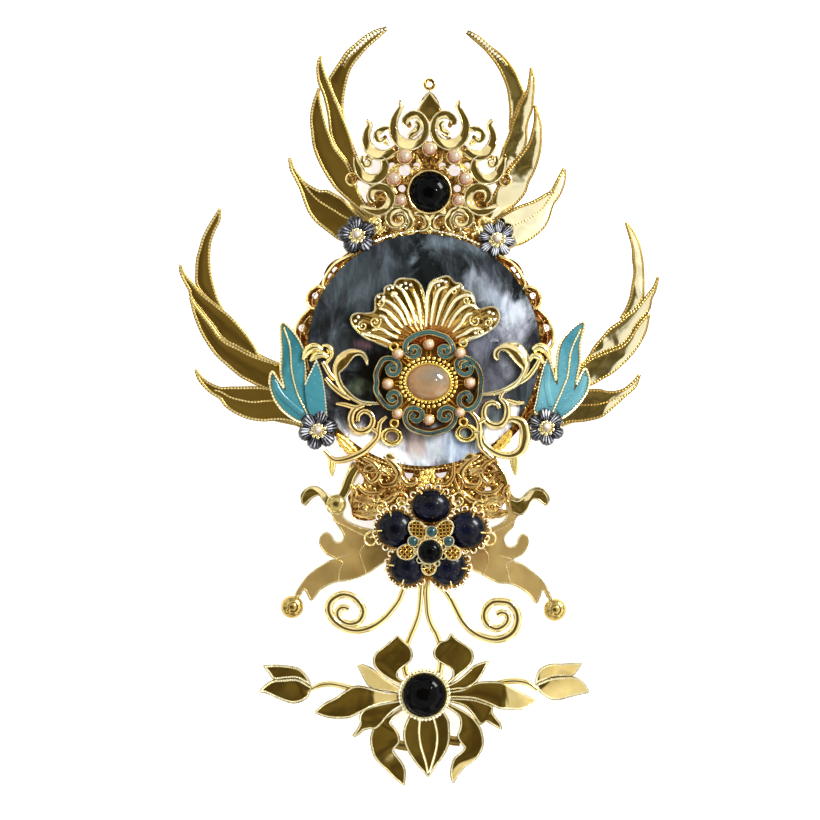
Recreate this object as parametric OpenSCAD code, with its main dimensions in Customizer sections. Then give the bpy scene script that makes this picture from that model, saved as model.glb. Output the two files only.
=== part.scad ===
// Hair crown of cast and pierced gilt metal with a shell disc, pearls, cabochons and enamel.
// It lies on its back: X runs to its left wing side, from left to right as it is seen,
// Y runs up to the tips of the top wings and Z comes out of its face.

/* [Shell disc] */
// Diameter of the shell disc
disc_d = 58; // [56:0.5:58]
// Thickness of the shell disc
disc_t = 1.5; // [1:0.1:1.5]

/* [Metal] */
// Thickness of the wings, sprays and wires where they lie under other pieces
sheet_t = 0.9; // [0.7:0.1:0.9]
// Height of the raised rims on the wings, sprays and petals
rim_h = 0.6; // [0.3:0.1:0.6]
// Width of the raised rims
rim_w = 0.7; // [0.5:0.1:0.9]
// Thickness of the back plate
plate_t = 1; // [0.8:0.1:1]
// Diameter of the round part of the back plate
plate_d = 62; // [61.5:0.1:62.5]

/* [Comb] */
// Height of the comb's spine, which holds the metalwork off the hair
spine_h = 3.8; // [3.6:0.1:4.5]
// Length of the comb's spine
spine_l = 50; // [40:1:54]
// Number of teeth
teeth = 14; // [10:1:15]
// Length of a tooth
tooth_l = 35; // [25:1:38]

/* [Stones] */
// Diameter of a round cabochon
cab_d = 10; // [9.6:0.1:10]
// Height of a cabochon's dome over its girdle
cab_h = 2.4; // [1.6:0.1:2.4]
// Diameter of the pearl in a shell flower
pin_pearl_d = 2.6; // [2:0.1:3]

/* [Rings] */
// Diameter of the hole in the ring at the tip of the crown
tip_ring_d = 1.4; // [1:0.1:1.6]
// Diameter of the holes in the rings at the sides of the crown
side_ring_d = 1.5; // [1:0.1:1.7]

/* [Hidden] */
$fn = 48;

gold = "goldenrod";
gap = 0.05;
inset = 0.12;
merge = 0.01;
disc_c = [1, 14];
comb_c = [1, 30];
crown_x = 2.4;
medal_c = [2.1, 5.9];
flower_c = [2.5, -36.25];
lotus_c = [1.1, -72.25];

// Heights of the layers over the hair
plate_z = spine_h + gap;
wing_z = spine_h - sheet_t;
disc_z = plate_z + plate_t + gap;
face_z = disc_z + disc_t + gap;
medal_z = face_z + 1.35;
wire_t = 1.1;
wire_z = spine_h + 0.8 - wire_t;
hub_z = wire_z + wire_t + gap;
setting_z = disc_z + 1.35;
setting_t = 0.75;
stone_z = setting_z + setting_t + gap;
mesh_z = stone_z + cab_h + 0.45;
mesh_t = 0.7;
seat = mesh_z + mesh_t + gap;
collar_r = disc_d / 2 + 0.9;

// Curves through rows of numbers

function smooth(p, k = 3) = [
    for (i = [0:len(p) - 2], j = [0:k - 1])
        between(p[max(i - 1, 0)], p[i], p[i + 1], p[min(i + 2, len(p) - 1)], j / k),
    p[len(p) - 1]
];
function smooth_loop(p, k = 2) = let (n = len(p)) [
    for (i = [0:n - 1], j = [0:k - 1])
        between(p[(i + n - 1) % n], p[i], p[(i + 1) % n], p[(i + 2) % n], j / k)
];
function between(a, b, c, d, t) =
    b + (c - a) * t / 2 + (2 * a - 5 * b + 4 * c - d) * t * t / 2 + (3 * b - a - 3 * c + d) * t * t * t / 2;
function backwards(p) = [for (i = [len(p) - 1:-1:0]) p[i]];
function wide(p, w) = [for (q = p) [q.x, q.y, w]];
function flat(q) = [q.x, q.y];
function along(s, i) = let (a = flat(s[max(i - 1, 0)]), b = flat(s[min(i + 1, len(s) - 1)])) (b - a) / norm(b - a);
function rail(s, side) = [
    for (i = [0:len(s) - 1]) let (d = along(s, i)) flat(s[i]) + side * s[i].z / 2 * [-d.y, d.x]
];
// A spiral's rows [x, y, width] from its rim to its eye
function spiral(c, r_out, r_in, from, turns, w, k = 8) = let (n = ceil(k * abs(turns))) [
    for (i = [0:n])
        let (a = from + 360 * turns * i / n, r = r_out + (r_in - r_out) * i / n)
        [c.x + r * cos(a), c.y + r * sin(a), w]
];
function left_of(x, p) = [for (q = p) [for (i = [0:len(q) - 1]) i == 0 ? 2 * x - q[0] : q[i]]];

// A wire, rim or scroll; its rows are [x, y, width]
module scroll(rows, k = 3) {
    s = smooth(rows, k);
    l = rail(s, 1);
    r = rail(s, -1);
    for (i = [0:len(s) - 2]) polygon([l[i], l[i + 1], r[i + 1], r[i]]);
    for (e = [s[0], s[len(s) - 1]]) translate(flat(e)) circle(d = e.z, $fn = 12);
}
// A feather or petal between its two edges, which both run from tip to root
module blade(edges) polygon(concat(smooth(edges[0]), backwards(smooth(edges[1]))));
module oval(c, rx, ry) translate(c) scale([1, ry / rx]) circle(rx, $fn = 36);
// Flat metal t thick whose back is at height z
module sheet(z, t) translate([0, 0, z]) linear_extrude(t) offset(delta = merge) children();
// Metal raised by h on the first child, where the second one runs
module raised(z, h) sheet(z, h) intersection() {
    offset(delta = -inset) children(0);
    union() children(1);
}
module post(c, z, r, h) translate([c.x, c.y, z]) cylinder(r = r, h = h);
module collar(c, z, r_in, r_out, h) translate([c.x, c.y, z]) difference() {
    cylinder(r = r_out, h = h);
    translate([0, 0, -1]) cylinder(r = r_in, h = h + 2);
}
// A cabochon: a girdle g high under part of a ball
module dome(r, h, g = 0.3) {
    ball_r = (r * r + h * h) / (2 * h);
    rotate_extrude() intersection() {
        translate([0, g + h - ball_r]) circle(ball_r);
        square([r, g + h]);
    }
}
module both_sides() for (s = [0, 1]) translate([crown_x, 0]) mirror([s, 0]) children();

// Feathers: each has the rows of its two edges, and ribs are further raised lines

top_left_feathers = [
    [[[-8.5, 94.6], [-13.5, 93], [-18.5, 88.75], [-23, 81.25], [-21.25, 77], [-18.75, 71.25]],
     [[-8.4, 94], [-13, 89.75], [-16.75, 85.25], [-18.5, 80.25], [-19.25, 75], [-18.75, 71.25]]],
    [[[-25, 87.5], [-25.75, 84], [-25.25, 79.5], [-23.25, 73.5], [-22.5, 67.75], [-19.5, 62.5], [-17, 59]],
     [[-24.75, 87.5], [-23.5, 82.75], [-21.25, 77], [-18.75, 71.25], [-16.5, 64.5], [-15, 60.25], [-15.5, 55]]],
    [[[-25.25, 79.5], [-27.25, 74.5], [-27.25, 68.5], [-25.75, 62.25], [-22.75, 56], [-19.25, 52.25], [-15, 47.25]],
     [[-25.25, 79.5], [-23.5, 73.5], [-22.5, 67.75], [-19.5, 62.5], [-17, 59], [-16, 53], [-15, 47.25]]],
    [[[-32.5, 62.2], [-30.25, 58], [-27, 55], [-23.25, 54], [-19.25, 51.75], [-15, 47.25]],
     [[-32.9, 61.2], [-31.25, 56.5], [-29.25, 51.75], [-26, 46], [-20, 41.5], [-16, 40]]]
];
top_left_ribs = [
    [[-29, 55.5], [-25.5, 51.5], [-19.25, 47.5]],
    [[-22.75, 56.5], [-19.5, 52.75], [-18, 51.5]]
];
top_left_slot = [[-25.4, 77], [-24.8, 77], [-23.6, 73], [-22.9, 68.5], [-23.8, 71]];
top_left_tab = [[-17.5, 49], [-13.5, 49], [-8.5, 41], [-10, 37.5], [-15, 38.5], [-20, 41.8]];

top_right_feathers = [
    [[[12.25, 93.6], [16, 91.75], [20, 88.5], [23.75, 84], [26.25, 78.5], [24.75, 75.5], [22.5, 69]],
     [[11.8, 93], [15.75, 89.5], [19.5, 84.75], [21.75, 79.5], [22.5, 74], [22.5, 69]]],
    [[[27.5, 84.5], [26.75, 79.5], [24.75, 75.5], [22.5, 69], [21.75, 67], [20, 62.75], [20, 56]],
     [[28, 84.5], [28.75, 80.5], [28.25, 74.25], [26.75, 69], [26, 64], [23, 60.25], [20.75, 57]]],
    [[[28.25, 74.25], [26.75, 69], [26, 64], [23, 60.25], [20.75, 57], [19.75, 51], [18.75, 44]],
     [[28.8, 74.7], [30.25, 71], [30.5, 66.5], [29.5, 60.75], [26.5, 54], [23, 49.5], [20, 45]]],
    [[[35.6, 59.4], [33.75, 55.75], [31.25, 53], [26.75, 50.9], [22.5, 49], [20, 45]],
     [[36, 58.5], [36, 54.75], [33.5, 50.5], [31, 44.5], [26.75, 41.25], [22, 39.5]]]
];
top_right_ribs = [
    [[32.5, 52.25], [29.25, 48.25], [22.5, 44.75]],
    [[26.75, 50.75], [24.5, 50], [21, 47.5]]
];
top_right_slot = [[28.2, 73.6], [28.6, 73.6], [28.2, 69.4], [27.2, 66.4], [27.2, 69.6]];
top_right_tab = [[17, 48], [21.5, 48], [24.5, 40.3], [19, 37.5], [13, 37], [11, 41]];

side_left_feathers = [
    [[[-50.25, 49], [-53.25, 44.75], [-55.25, 39.75], [-56.25, 34], [-56, 30], [-51.75, 26], [-49, 23.75]],
     [[-49.9, 48.75], [-50, 46.5], [-52.25, 41.25], [-52.5, 35.25], [-51.25, 29], [-49, 23.75]]],
    [[[-60.1, 34.9], [-60, 32.75], [-57.5, 27], [-54, 22.5], [-50.5, 17.75], [-46, 14.75], [-37.5, 11], [-33, 9]],
     [[-59.75, 35], [-56.25, 30], [-51.75, 26], [-46, 21], [-42.5, 16.75], [-40, 12.75], [-35, 9.75], [-32, 9]]],
    [[[-57.5, 27], [-57, 24], [-54.75, 18.25], [-51, 12.5], [-45, 7], [-38, 4.25], [-31, 2]],
     [[-57.5, 27], [-54, 22.5], [-50.5, 17.75], [-46, 14.75], [-37.5, 11], [-34, 7], [-31, 2]]],
    [[[-55.9, 8.9], [-52.5, 5.75], [-47.5, 4.75], [-40.5, 4.75], [-34, 4.5], [-28, 2]],
     [[-55.9, 8.6], [-54.5, 5.25], [-50, 1.75], [-46.75, -1.5], [-41.75, -3.5], [-32.5, -3.75], [-28, -5.5]]]
];
side_left_ribs = [
    [[-49.75, 3.5], [-45, 1.5], [-38.75, 1.25]],
    [[-44.5, 6.6], [-40, 4.9], [-36, 3.5]]
];
side_left_tab = [[-31, -4], [-28, -7.8], [-25, -7.8], [-19, -2], [-21, 4], [-29, 6]];

side_right_feathers = [
    [[[52, 45.8], [54.75, 41.5], [56, 36], [56.25, 29.5], [53.5, 24], [50, 21.25]],
     [[51.7, 45.5], [52.25, 42.75], [53.5, 33.5], [52.5, 27.25], [50, 21.25]]],
    [[[59.5, 32], [56.5, 27.5], [51.75, 22.75], [47.5, 19.5], [43.5, 14.75], [40.25, 10], [36, 9]],
     [[59.9, 31.75], [59.25, 29], [57.25, 23], [54.25, 20], [50.5, 15.25], [45, 13], [40.5, 10], [37, 8]]],
    [[[57.25, 23], [54.25, 20], [50.5, 15.25], [45, 13], [40.5, 10], [38, 6], [36, 2]],
     [[57.5, 22.5], [57, 19.5], [54.5, 14.5], [50.25, 9.75], [45.5, 5.75], [40, 4], [36, 2]]],
    [[[54.8, 7.6], [51.25, 4.5], [45.25, 4.25], [40, 4], [34, 2]],
     [[55, 7], [52.5, 3.25], [49.25, 0.25], [45.5, -2.75], [40, -4], [34, -5]]]
];
side_right_ribs = [
    [[50, 2.25], [45, 0.5], [40, 0.25]],
    [[45.25, 5.9], [42.5, 4.9], [39, 3.5]]
];
side_right_tab = [[36, -4.2], [33.5, -7.2], [30, -7.2], [22, 0], [23, 5], [30, 6], [36, 5]];

// Holes through the back plate [x, y, r], and the scallops at its sides [x, y, r]
plate_scallops = [[-18.75, 31.75, 5.4], [-25.5, 27, 3], [-27, 18.5, 4.25]];
plate_holes = [[-26.2, 27.6, 0.8], [-29.5, 19.5, 0.9], [-21.2, 34, 0.8], [-22.4, 32.4, 0.8]];

// The crown's left half, as [distance from its axis, y, width]
crown_scrolls = [
    [[7.4, 76.25, 0.6], [6.9, 74.75, 1], [8.4, 72, 1.5], [8.9, 68.75, 2], [7.6, 66.5, 2.25], [5.4, 65.5, 2.25],
     [2.9, 66.25, 1.75], [0.9, 69, 1.4], [1.6, 72.25, 1.25], [3.6, 73.1, 1.25], [5.6, 71.8, 1.4], [5.1, 70.2, 1.25]],
    [[5.3, 66, 1], [4.6, 67.4, 1], [3.6, 68, 1], [2.4, 69.5, 1]],
    [[15.4, 71.6, 0.6], [14.6, 70, 1], [15.4, 68.5, 1.4], [15.6, 66.5, 1.75], [14.6, 64.25, 2.25], [12.6, 63, 2.25],
     [10.1, 63.25, 1.75], [8.6, 64.5, 1.5]],
    [[9.9, 69.5, 1], [11.6, 69.5, 1], [13.1, 68.5, 1.25], [13.4, 67, 1.25], [12.1, 66.25, 1], [11.1, 67.25, 1]],
    [[18.9, 62.6, 0.7], [18.4, 60, 1.25], [17.1, 57.5, 1.75], [14.9, 56.25, 2], [12.4, 57, 2], [10.9, 59, 1.75],
     [11.1, 60.75, 1.25]],
    [[13.2, 63, 1], [14.4, 62, 1], [15.6, 62.2, 1], [16.6, 61.4, 1], [16.3, 60, 1], [15.1, 60.2, 1]],
    [[19.2, 56.7, 1.1], [17, 57.4, 1.1]],
    [[1.9, 62.75, 0.8], [0.4, 59, 0.8]],
    [[0, 78.6, 0.6], [1.4, 77, 0.8], [2.4, 74.75, 0.8], [2.3, 72.8, 0.8], [0, 71.2, 0.8]],
    spiral([13.1, 52.5], 2.9, 1.2, 90, 1.75, 1.2),
    spiral([9.7, 46.25], 2.6, 1, 150, 1.75, 1),
    spiral([2.2, 46.4], 1.8, 0.8, 90, 1.5, 0.9)
];
crown_ground = [
    [0, 66], [5.5, 65], [9, 63.5], [12, 60], [12.5, 56], [14, 53], [12.5, 48.5], [12, 45], [11.6, 38], [0, 38]
];
// The crown's holes on one side [distance from its axis, y, r]
crown_holes = [[6.2, 59, 1.5], [3.2, 60, 0.9], [9.4, 60, 0.9], [6.9, 54.4, 0.9]];
// The crown's pearls on one side [distance from its axis, y, r]
side_pearls = [[6.2, 62.3, 1.9], [8.9, 56.75, 1.8], [7.2, 51.4, 1.5]];
crown_stone_c = [crown_x, 53.5];
top_pearl = [0, 64.25, 1.8];
tip_ring_c = [crown_x, 80.4];
side_rings = [[-17, 56.75], [21.4, 56.5]];

// The palmette's lobes [tip x, tip y, width], which run together at palmette_c
palmette_c = [2.5, 15.25];
palmette_lobes = [
    [-15, 21.25, 4.2], [-9, 26, 4.5], [-7.25, 28.75, 3.2], [-4.5, 29.75, 4], [-1.5, 29.25, 4],
    [3.75, 29.25, 4.5], [6.75, 30.25, 4.2], [9, 28.75, 3.5], [11.5, 26.5, 4.5], [17, 22, 5.2]
];
palmette_web = [
    [-8, 15], [-13.75, 17.5], [-11.25, 23.4], [-10, 28], [-6.4, 30], [0.9, 26],
    [8.6, 30.5], [12, 28], [14, 25], [14.5, 17.5], [10.5, 15.75]
];
palmette_rings = [[-6.5, 14.75], [10.75, 15.75]];

// The medallion's clouds as bent bands [x, y], curled in at both ends
clouds = [
    [[-1.6, 13.2], [-2.9, 13.4], [-3.6, 15.5], [-2, 17.2], [1.75, 18.6], [6, 17.4], [8.3, 15.2], [7.6, 13.3], [6.2, 13.4]],
    [[-7, 9.4], [-5.7, 9.8], [-6, 11.3], [-8, 11.9], [-10.2, 9.3], [-11, 5], [-10, 1.4], [-8, -0.3], [-5.9, 0.2],
     [-5.6, 2], [-6.7, 2.5]],
    [[10.8, 9.6], [9.6, 10], [9.9, 11.5], [12, 11.8], [14.3, 9], [15, 5.6], [13.8, 1.8], [11.7, 0.2], [10.1, 0.7],
     [9.9, 2.2], [11, 2.6]],
    [[-1.4, -2], [-2.8, -1.8], [-3.4, -3.4], [-1, -5.7], [2.2, -6.4], [5.4, -5.6], [7.9, -3.8], [7.6, -1.9], [6.2, -2.2]]
];
// The medallion's pearls [x, y, r] and its rings [x, y]
medal_pearls = [
    [2.25, 15.4, 1.5], [-5.5, 13, 1.5], [10, 13.2, 1.5], [-8, 5.5, 1.5], [12.4, 5.75, 1.5],
    [-5.6, -1.9, 1.4], [9.9, -1.6, 1.4], [2.25, -3.4, 1.5]
];
medal_rings = [[-6.4, -4.3], [10.8, -4]];
medal_ground = [10, 9.2];
oval_r = [5.4, 4.4];

// Scroll branches, as rows [x, y, width]
left_branch = [
    [[-22.4, 9.6, 1], [-21.2, 12.2, 1.6], [-18.5, 13.3, 2.2], [-15.5, 13.1, 1.8], [-13.3, 11.2, 1.1], [-13.6, 10.2, 0.8]],
    [[-16.7, 12.5, 1.4], [-18.5, 10.6, 1.2], [-20.3, 8.4, 1.6], [-19.5, 5, 1.5], [-17.5, 2.75, 1.5], [-15.5, 1.25, 1.4],
     [-12.5, 0.25, 1.2], [-9.25, 0.25, 0.8]],
    [[-24.25, 11, 0.8], [-23, 9, 0.8], [-21, 7, 0.8]],
    [[-23.5, 10, 0.8], [-23.4, 6.5, 0.8], [-21.75, 4.5, 0.8], [-19.5, 2.75, 0.8], [-17, 1.6, 0.8]],
    concat([[-14, 1, 0.9]], spiral([-14.5, -3.75], 3, 1.3, 110, 1.6, 0.9)),
    [[-21, 0.5, 0.6], [-18.75, 0.5, 0.8], [-15.8, -0.6, 0.8]],
    [[-13.5, -11.5, 1.1], [-12.5, -9.75, 1.1], [-10.6, -7.6, 1.1], [-10.25, -5, 1.1], [-9.25, -3.5, 1], [-7.75, -2.5, 0.8]],
    [[-12, -5.5, 0.9], [-10.4, -6.4, 0.9]],
    [[-23.4, -11.4, 1], [-22, -12.8, 1.2], [-19.5, -13.5, 1.4], [-16.5, -13, 1.3], [-13.5, -11.3, 1.1]],
    [[-22.4, -13, 1.4], [-22.2, -15, 1.2], [-22.2, -17, 0.6]],
    [[-27.4, 13.4, 0.8], [-26, 14.9, 1], [-23.5, 14, 1.2], [-22.4, 13, 1.2], [-23.6, 11.3, 1.2], [-25.6, 11.6, 1],
     [-27.4, 13.4, 0.8]]
];
left_branch_ring = [-7.25, -8];
right_branch = [
    [[19, 12.4, 0.9], [20.2, 14.5, 1.6], [22.5, 14.6, 2], [25.5, 12.9, 2], [26.2, 10.3, 1.8], [25, 7.6, 1.8],
     [22.5, 5, 1.6], [19, 3, 1.3], [14.5, 2, 0.8]],
    [[29, 12.4, 0.8], [27.5, 8.25, 0.8], [24.4, 6, 0.8]],
    [[22.5, 5, 1], [19.6, 2.4, 0.9]],
    concat([[18.8, 2.8, 0.9]], spiral([18.5, -1.25], 3, 1.3, 80, -1.6, 0.9)),
    [[12, -0.5, 0.8], [13.75, -2, 1], [14.75, -4, 1.1], [15, -6.5, 1.1], [15.5, -8.75, 1.1], [16.5, -11, 1.1], [18, -13, 1]],
    [[14.6, -4.2, 0.9], [16.3, -3.2, 0.9]],
    [[13.4, -6.7, 0.9], [15, -6.5, 0.9]],
    [[15.4, -8, 1.2], [17.5, -10.6, 1.5], [20.2, -11.8, 1.7], [23, -11.8, 1.8], [25.6, -9.6, 2], [25.8, -6.6, 1.8],
     [23.6, -4, 1.3], [20.75, -3.8, 0.9]],
    [[23.6, -12.2, 1.6], [24, -14.5, 1.4], [23.8, -17, 0.6]],
    [[29.4, 13.4, 0.8], [28, 14.9, 1], [25.6, 14.4, 1.2], [27, 12.4, 1.2], [28.4, 11.8, 1], [29.4, 13.4, 0.8]]
];
right_branch_ring = [11.25, -6.75];

// The enamelled leaves' outlines and veins
left_leaf = [
    [-34.75, 20.6], [-34.6, 14], [-34.75, 8.5], [-34, 4.6], [-35.4, 6.4], [-37, 8.6], [-37.5, 5.25], [-35.5, 0.25],
    [-31.25, -3.4], [-27, -4.2], [-23.2, -2.6], [-23.6, 1.5], [-24.25, 6.5], [-25.8, 11.1], [-27, 9],
    [-28.5, 6], [-28.5, 10.25], [-29.5, 15.25], [-32.5, 19.5]
];
left_veins = [
    [[-34, 19.6], [-32.5, 14.75], [-32, 8.5], [-30.5, 2.75], [-27.75, -2.5]],
    [[-36.6, 6.5], [-34.5, 2.5], [-29.5, -2]],
    [[-26, 9.6], [-26.4, 4], [-27.8, -1]]
];
right_leaf = [
    [41.1, 20.8], [38.25, 19.6], [35.25, 15.75], [34.25, 11], [34.1, 6.4], [33, 9.5], [32, 12], [30.4, 8], [29.2, 1.8],
    [28.7, -1.4], [31.6, -3.2], [35, -3.2], [38.5, -0.75], [41.5, 3], [42.3, 6.5], [41.2, 9.3], [39.1, 5.4],
    [40, 11], [40, 15.25]
];
right_veins = [
    [[40.2, 19.2], [37.9, 14], [37, 7.75], [35.75, 4.5], [33.2, -1.5]],
    [[41.3, 7.5], [39.5, 3], [34.6, -1.4]],
    [[31.8, 10.4], [31.8, 5], [32.8, 0]]
];

// The lower filigree, as rows [x, y, width]
filigree_web = [
    [-14.5, -9], [-16, -14.6], [-14, -18.3], [-15.5, -20.5], [-18, -22.5], [-17.2, -25.5], [-16.5, -28],
    [-12, -28.6], [-6, -26], [2.5, -25], [11, -26], [17, -26.5], [20.6, -25], [21.6, -21.5], [20.2, -17],
    [18.6, -14], [16.5, -9], [2.5, -11]
];
filigree_holes = [[-2.75, -16.5, 1.1, 1.75], [5.25, -16.25, 1.4, 1.75], [-12.6, -22.4, 0.9, 0.7], [17, -21, 0.8, 0.8]];
filigree_scrolls = [
    [[2.5, -14.5, 1], [2.4, -17.25, 3.4], [2.5, -19.5, 4], [2.5, -21.5, 2]],
    [[-4.5, -14.6, 1], [-4.6, -17.5, 1.4], [-2.6, -19.6, 1.6], [0.2, -19, 1.2]],
    [[8.4, -14.6, 1], [8.3, -17.5, 1.4], [6.8, -19.4, 1.4], [4.6, -19, 1.2]],
    [[-14.6, -13, 1.2], [-11, -14.4, 1.6], [-8, -17, 1.8], [-9, -20, 1.6], [-12, -20, 1.2], [-12.4, -18, 1]],
    [[17.4, -13, 1.2], [14.5, -14.6, 1.6], [11.6, -17, 1.8], [12.4, -20, 1.6], [15.4, -19.6, 1.2], [15.6, -17.6, 1]],
    [[-16.4, -22.6, 1.4], [-13.4, -24.6, 1.8], [-9.6, -23.6, 1.8], [-7.6, -21.4, 1.4]],
    [[20, -22.4, 1.4], [17, -24.4, 1.8], [13, -23.4, 1.8], [10.6, -21.6, 1.4]]
];

// The large flower: its dark stones [x, y, half width, half height], petals of mesh and small stones
goldstones = [
    [2.75, -25, 4.75, 4], [-6, -30.75, 4.5, 4.5], [11.75, -31, 4.5, 4.5], [-3, -40, 4.5, 4.5], [7, -40.25, 4.5, 4.5]
];
mesh_petals = [
    [-0.75, -30.4, 3.5, 3.9], [6.4, -30.75, 3.8, 3.5], [-3.4, -36.3, 3.7, 3.5], [8.3, -36.5, 3.4, 3.4],
    [2.3, -40.25, 3.5, 2.9]
];
teal_stones = [[2.9, -31.2, 1.25], [-1.75, -33.6, 1.15], [7.1, -33.6, 1.15]];
mesh_hub = [2.5, -35];

// The sprays' outlines, with their ridges
left_spray = [
    [-16.9, -14], [-18.25, -16.5], [-19.5, -19.5], [-20.5, -22.2], [-22, -22.5], [-23.25, -22], [-24.5, -20.75],
    [-26.2, -20], [-28, -20.3], [-29.6, -21.5], [-30, -23.2], [-28.9, -25.1], [-27.75, -24.25], [-26.75, -23],
    [-25.5, -22.5], [-24.5, -23.5], [-23.6, -25.5], [-22.25, -27.2], [-21.5, -28.75], [-20.1, -30.6], [-19.1, -32.5],
    [-19.7, -33.8], [-21.2, -34], [-22.2, -32.4], [-23.6, -31.5], [-25.1, -32.8], [-25.2, -34.8], [-23.6, -37],
    [-21.4, -38.2], [-24, -39.3], [-28, -42.25], [-30.2, -45], [-31.4, -47.5], [-30.1, -47.7], [-29, -45.9],
    [-28, -47.6], [-27, -48.8], [-25, -46.25], [-21.5, -44.3], [-17, -43.5], [-12.5, -41.7], [-8.5, -39],
    [-3.6, -38.2], [-1.6, -36.6], [-3, -34.4], [-6.5, -32.5], [-10.5, -31.2], [-15.5, -30], [-19, -28], [-19, -25.5],
    [-18.6, -23], [-17, -20.2], [-15.8, -18], [-14.7, -15.8]
];
left_spray_ridges = [
    [[-19, -38], [-20.5, -40], [-21.4, -44]],
    [[-12.5, -35.5], [-14.75, -38.75], [-14.5, -42]],
    [[-22, -28], [-19.6, -29.6], [-12, -33], [-5, -35.6]],
    [[-29.6, -45.4], [-24, -41], [-17, -38.5], [-10, -37]]
];
left_ball = [-32, -50.3];
right_spray = [
    [19.2, -13.8], [20.4, -15.6], [21.6, -17.6], [22.4, -20], [23.2, -22.2], [24.75, -23.1], [25.75, -22.4],
    [27, -21.25], [28.6, -20.4], [30.4, -20.4], [32, -21.8], [32.6, -23.6], [31.5, -25.1], [30.6, -24.2],
    [29.4, -23.3], [27.9, -23.7], [27, -25.2], [26, -26.9], [24.6, -27.6], [24, -28.6], [23.4, -30.3], [22.1, -31.6],
    [21.1, -33.3], [22, -35], [23.9, -34.9], [24.6, -33], [25.7, -31.9], [27.1, -32.8], [27.2, -34.8], [25.9, -37.1],
    [23.4, -38.5], [26.25, -39.75], [30.25, -43], [32.2, -46], [33.1, -48.2], [32, -48.3], [30.8, -46.2],
    [30, -48], [29, -49.5], [27, -47], [23.25, -44.8], [19.25, -44.2], [14.6, -41.8], [9.5, -39.4], [6.6, -37.4],
    [7, -34.6], [11, -32.6], [15.5, -31], [19.5, -29.75], [21.4, -28], [21.6, -25.5], [21, -22], [20, -18.4], [18.2, -15.2]
];
right_spray_ridges = [
    [[20.75, -38.5], [22, -40.75], [23, -44.4]],
    [[15, -36], [16.6, -39], [16.8, -42.6]],
    [[23.6, -28], [21.5, -30.4], [14, -33.4], [9, -35]],
    [[31.4, -45.8], [26, -41.2], [19, -38.6], [12, -37.4]]
];
right_ball = [33.8, -51];

// Wires as rows [x, y]
left_spiral = [
    [-1, -40.6], [-3, -43.6], [-4.25, -46], [-5.25, -48.5], [-7, -51], [-9, -53.25], [-11.5, -55], [-14, -56],
    [-16.5, -56.25], [-19.25, -55.5], [-21.5, -53.75], [-22.75, -51.5], [-22.5, -49.25], [-21, -47.75],
    [-18.75, -47.25], [-16.5, -48], [-14.75, -49.75], [-14.25, -51.75], [-15.25, -53.75], [-17.25, -54.6],
    [-19.25, -54.1], [-20.6, -52.6], [-20.3, -50.9], [-19, -50.4], [-17.75, -50.9]
];
right_spiral = [
    [4.6, -40.8], [4.2, -43], [4.5, -45], [6, -46], [7.5, -48], [8.75, -50.5], [10.25, -53.25], [12, -55.5],
    [14.25, -57.25], [16.75, -58.25], [19.25, -58.5], [21.75, -57.75], [23.75, -56], [24.5, -53.5], [24, -51.25],
    [22.5, -49.5], [20.5, -49], [18.25, -49.25], [16.5, -50.75], [16.1, -53], [17.1, -54.9], [19, -55.75],
    [20.75, -55.25], [22, -53.75], [21.75, -52.25], [20.4, -51.7], [19.2, -52.3]
];
left_stem = [[0.6, -40.2], [0.25, -46], [-0.25, -51.5], [-1.25, -54.75], [-2.5, -57.75], [-3.5, -61], [-3.75, -66], [-2.5, -69]];
right_stem = [[2.4, -40.2], [1.7, -46], [1.75, -49.25], [2, -52.25], [2.75, -54.75], [4, -57], [5, -60], [5.25, -64.75], [4.4, -69]];

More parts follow.
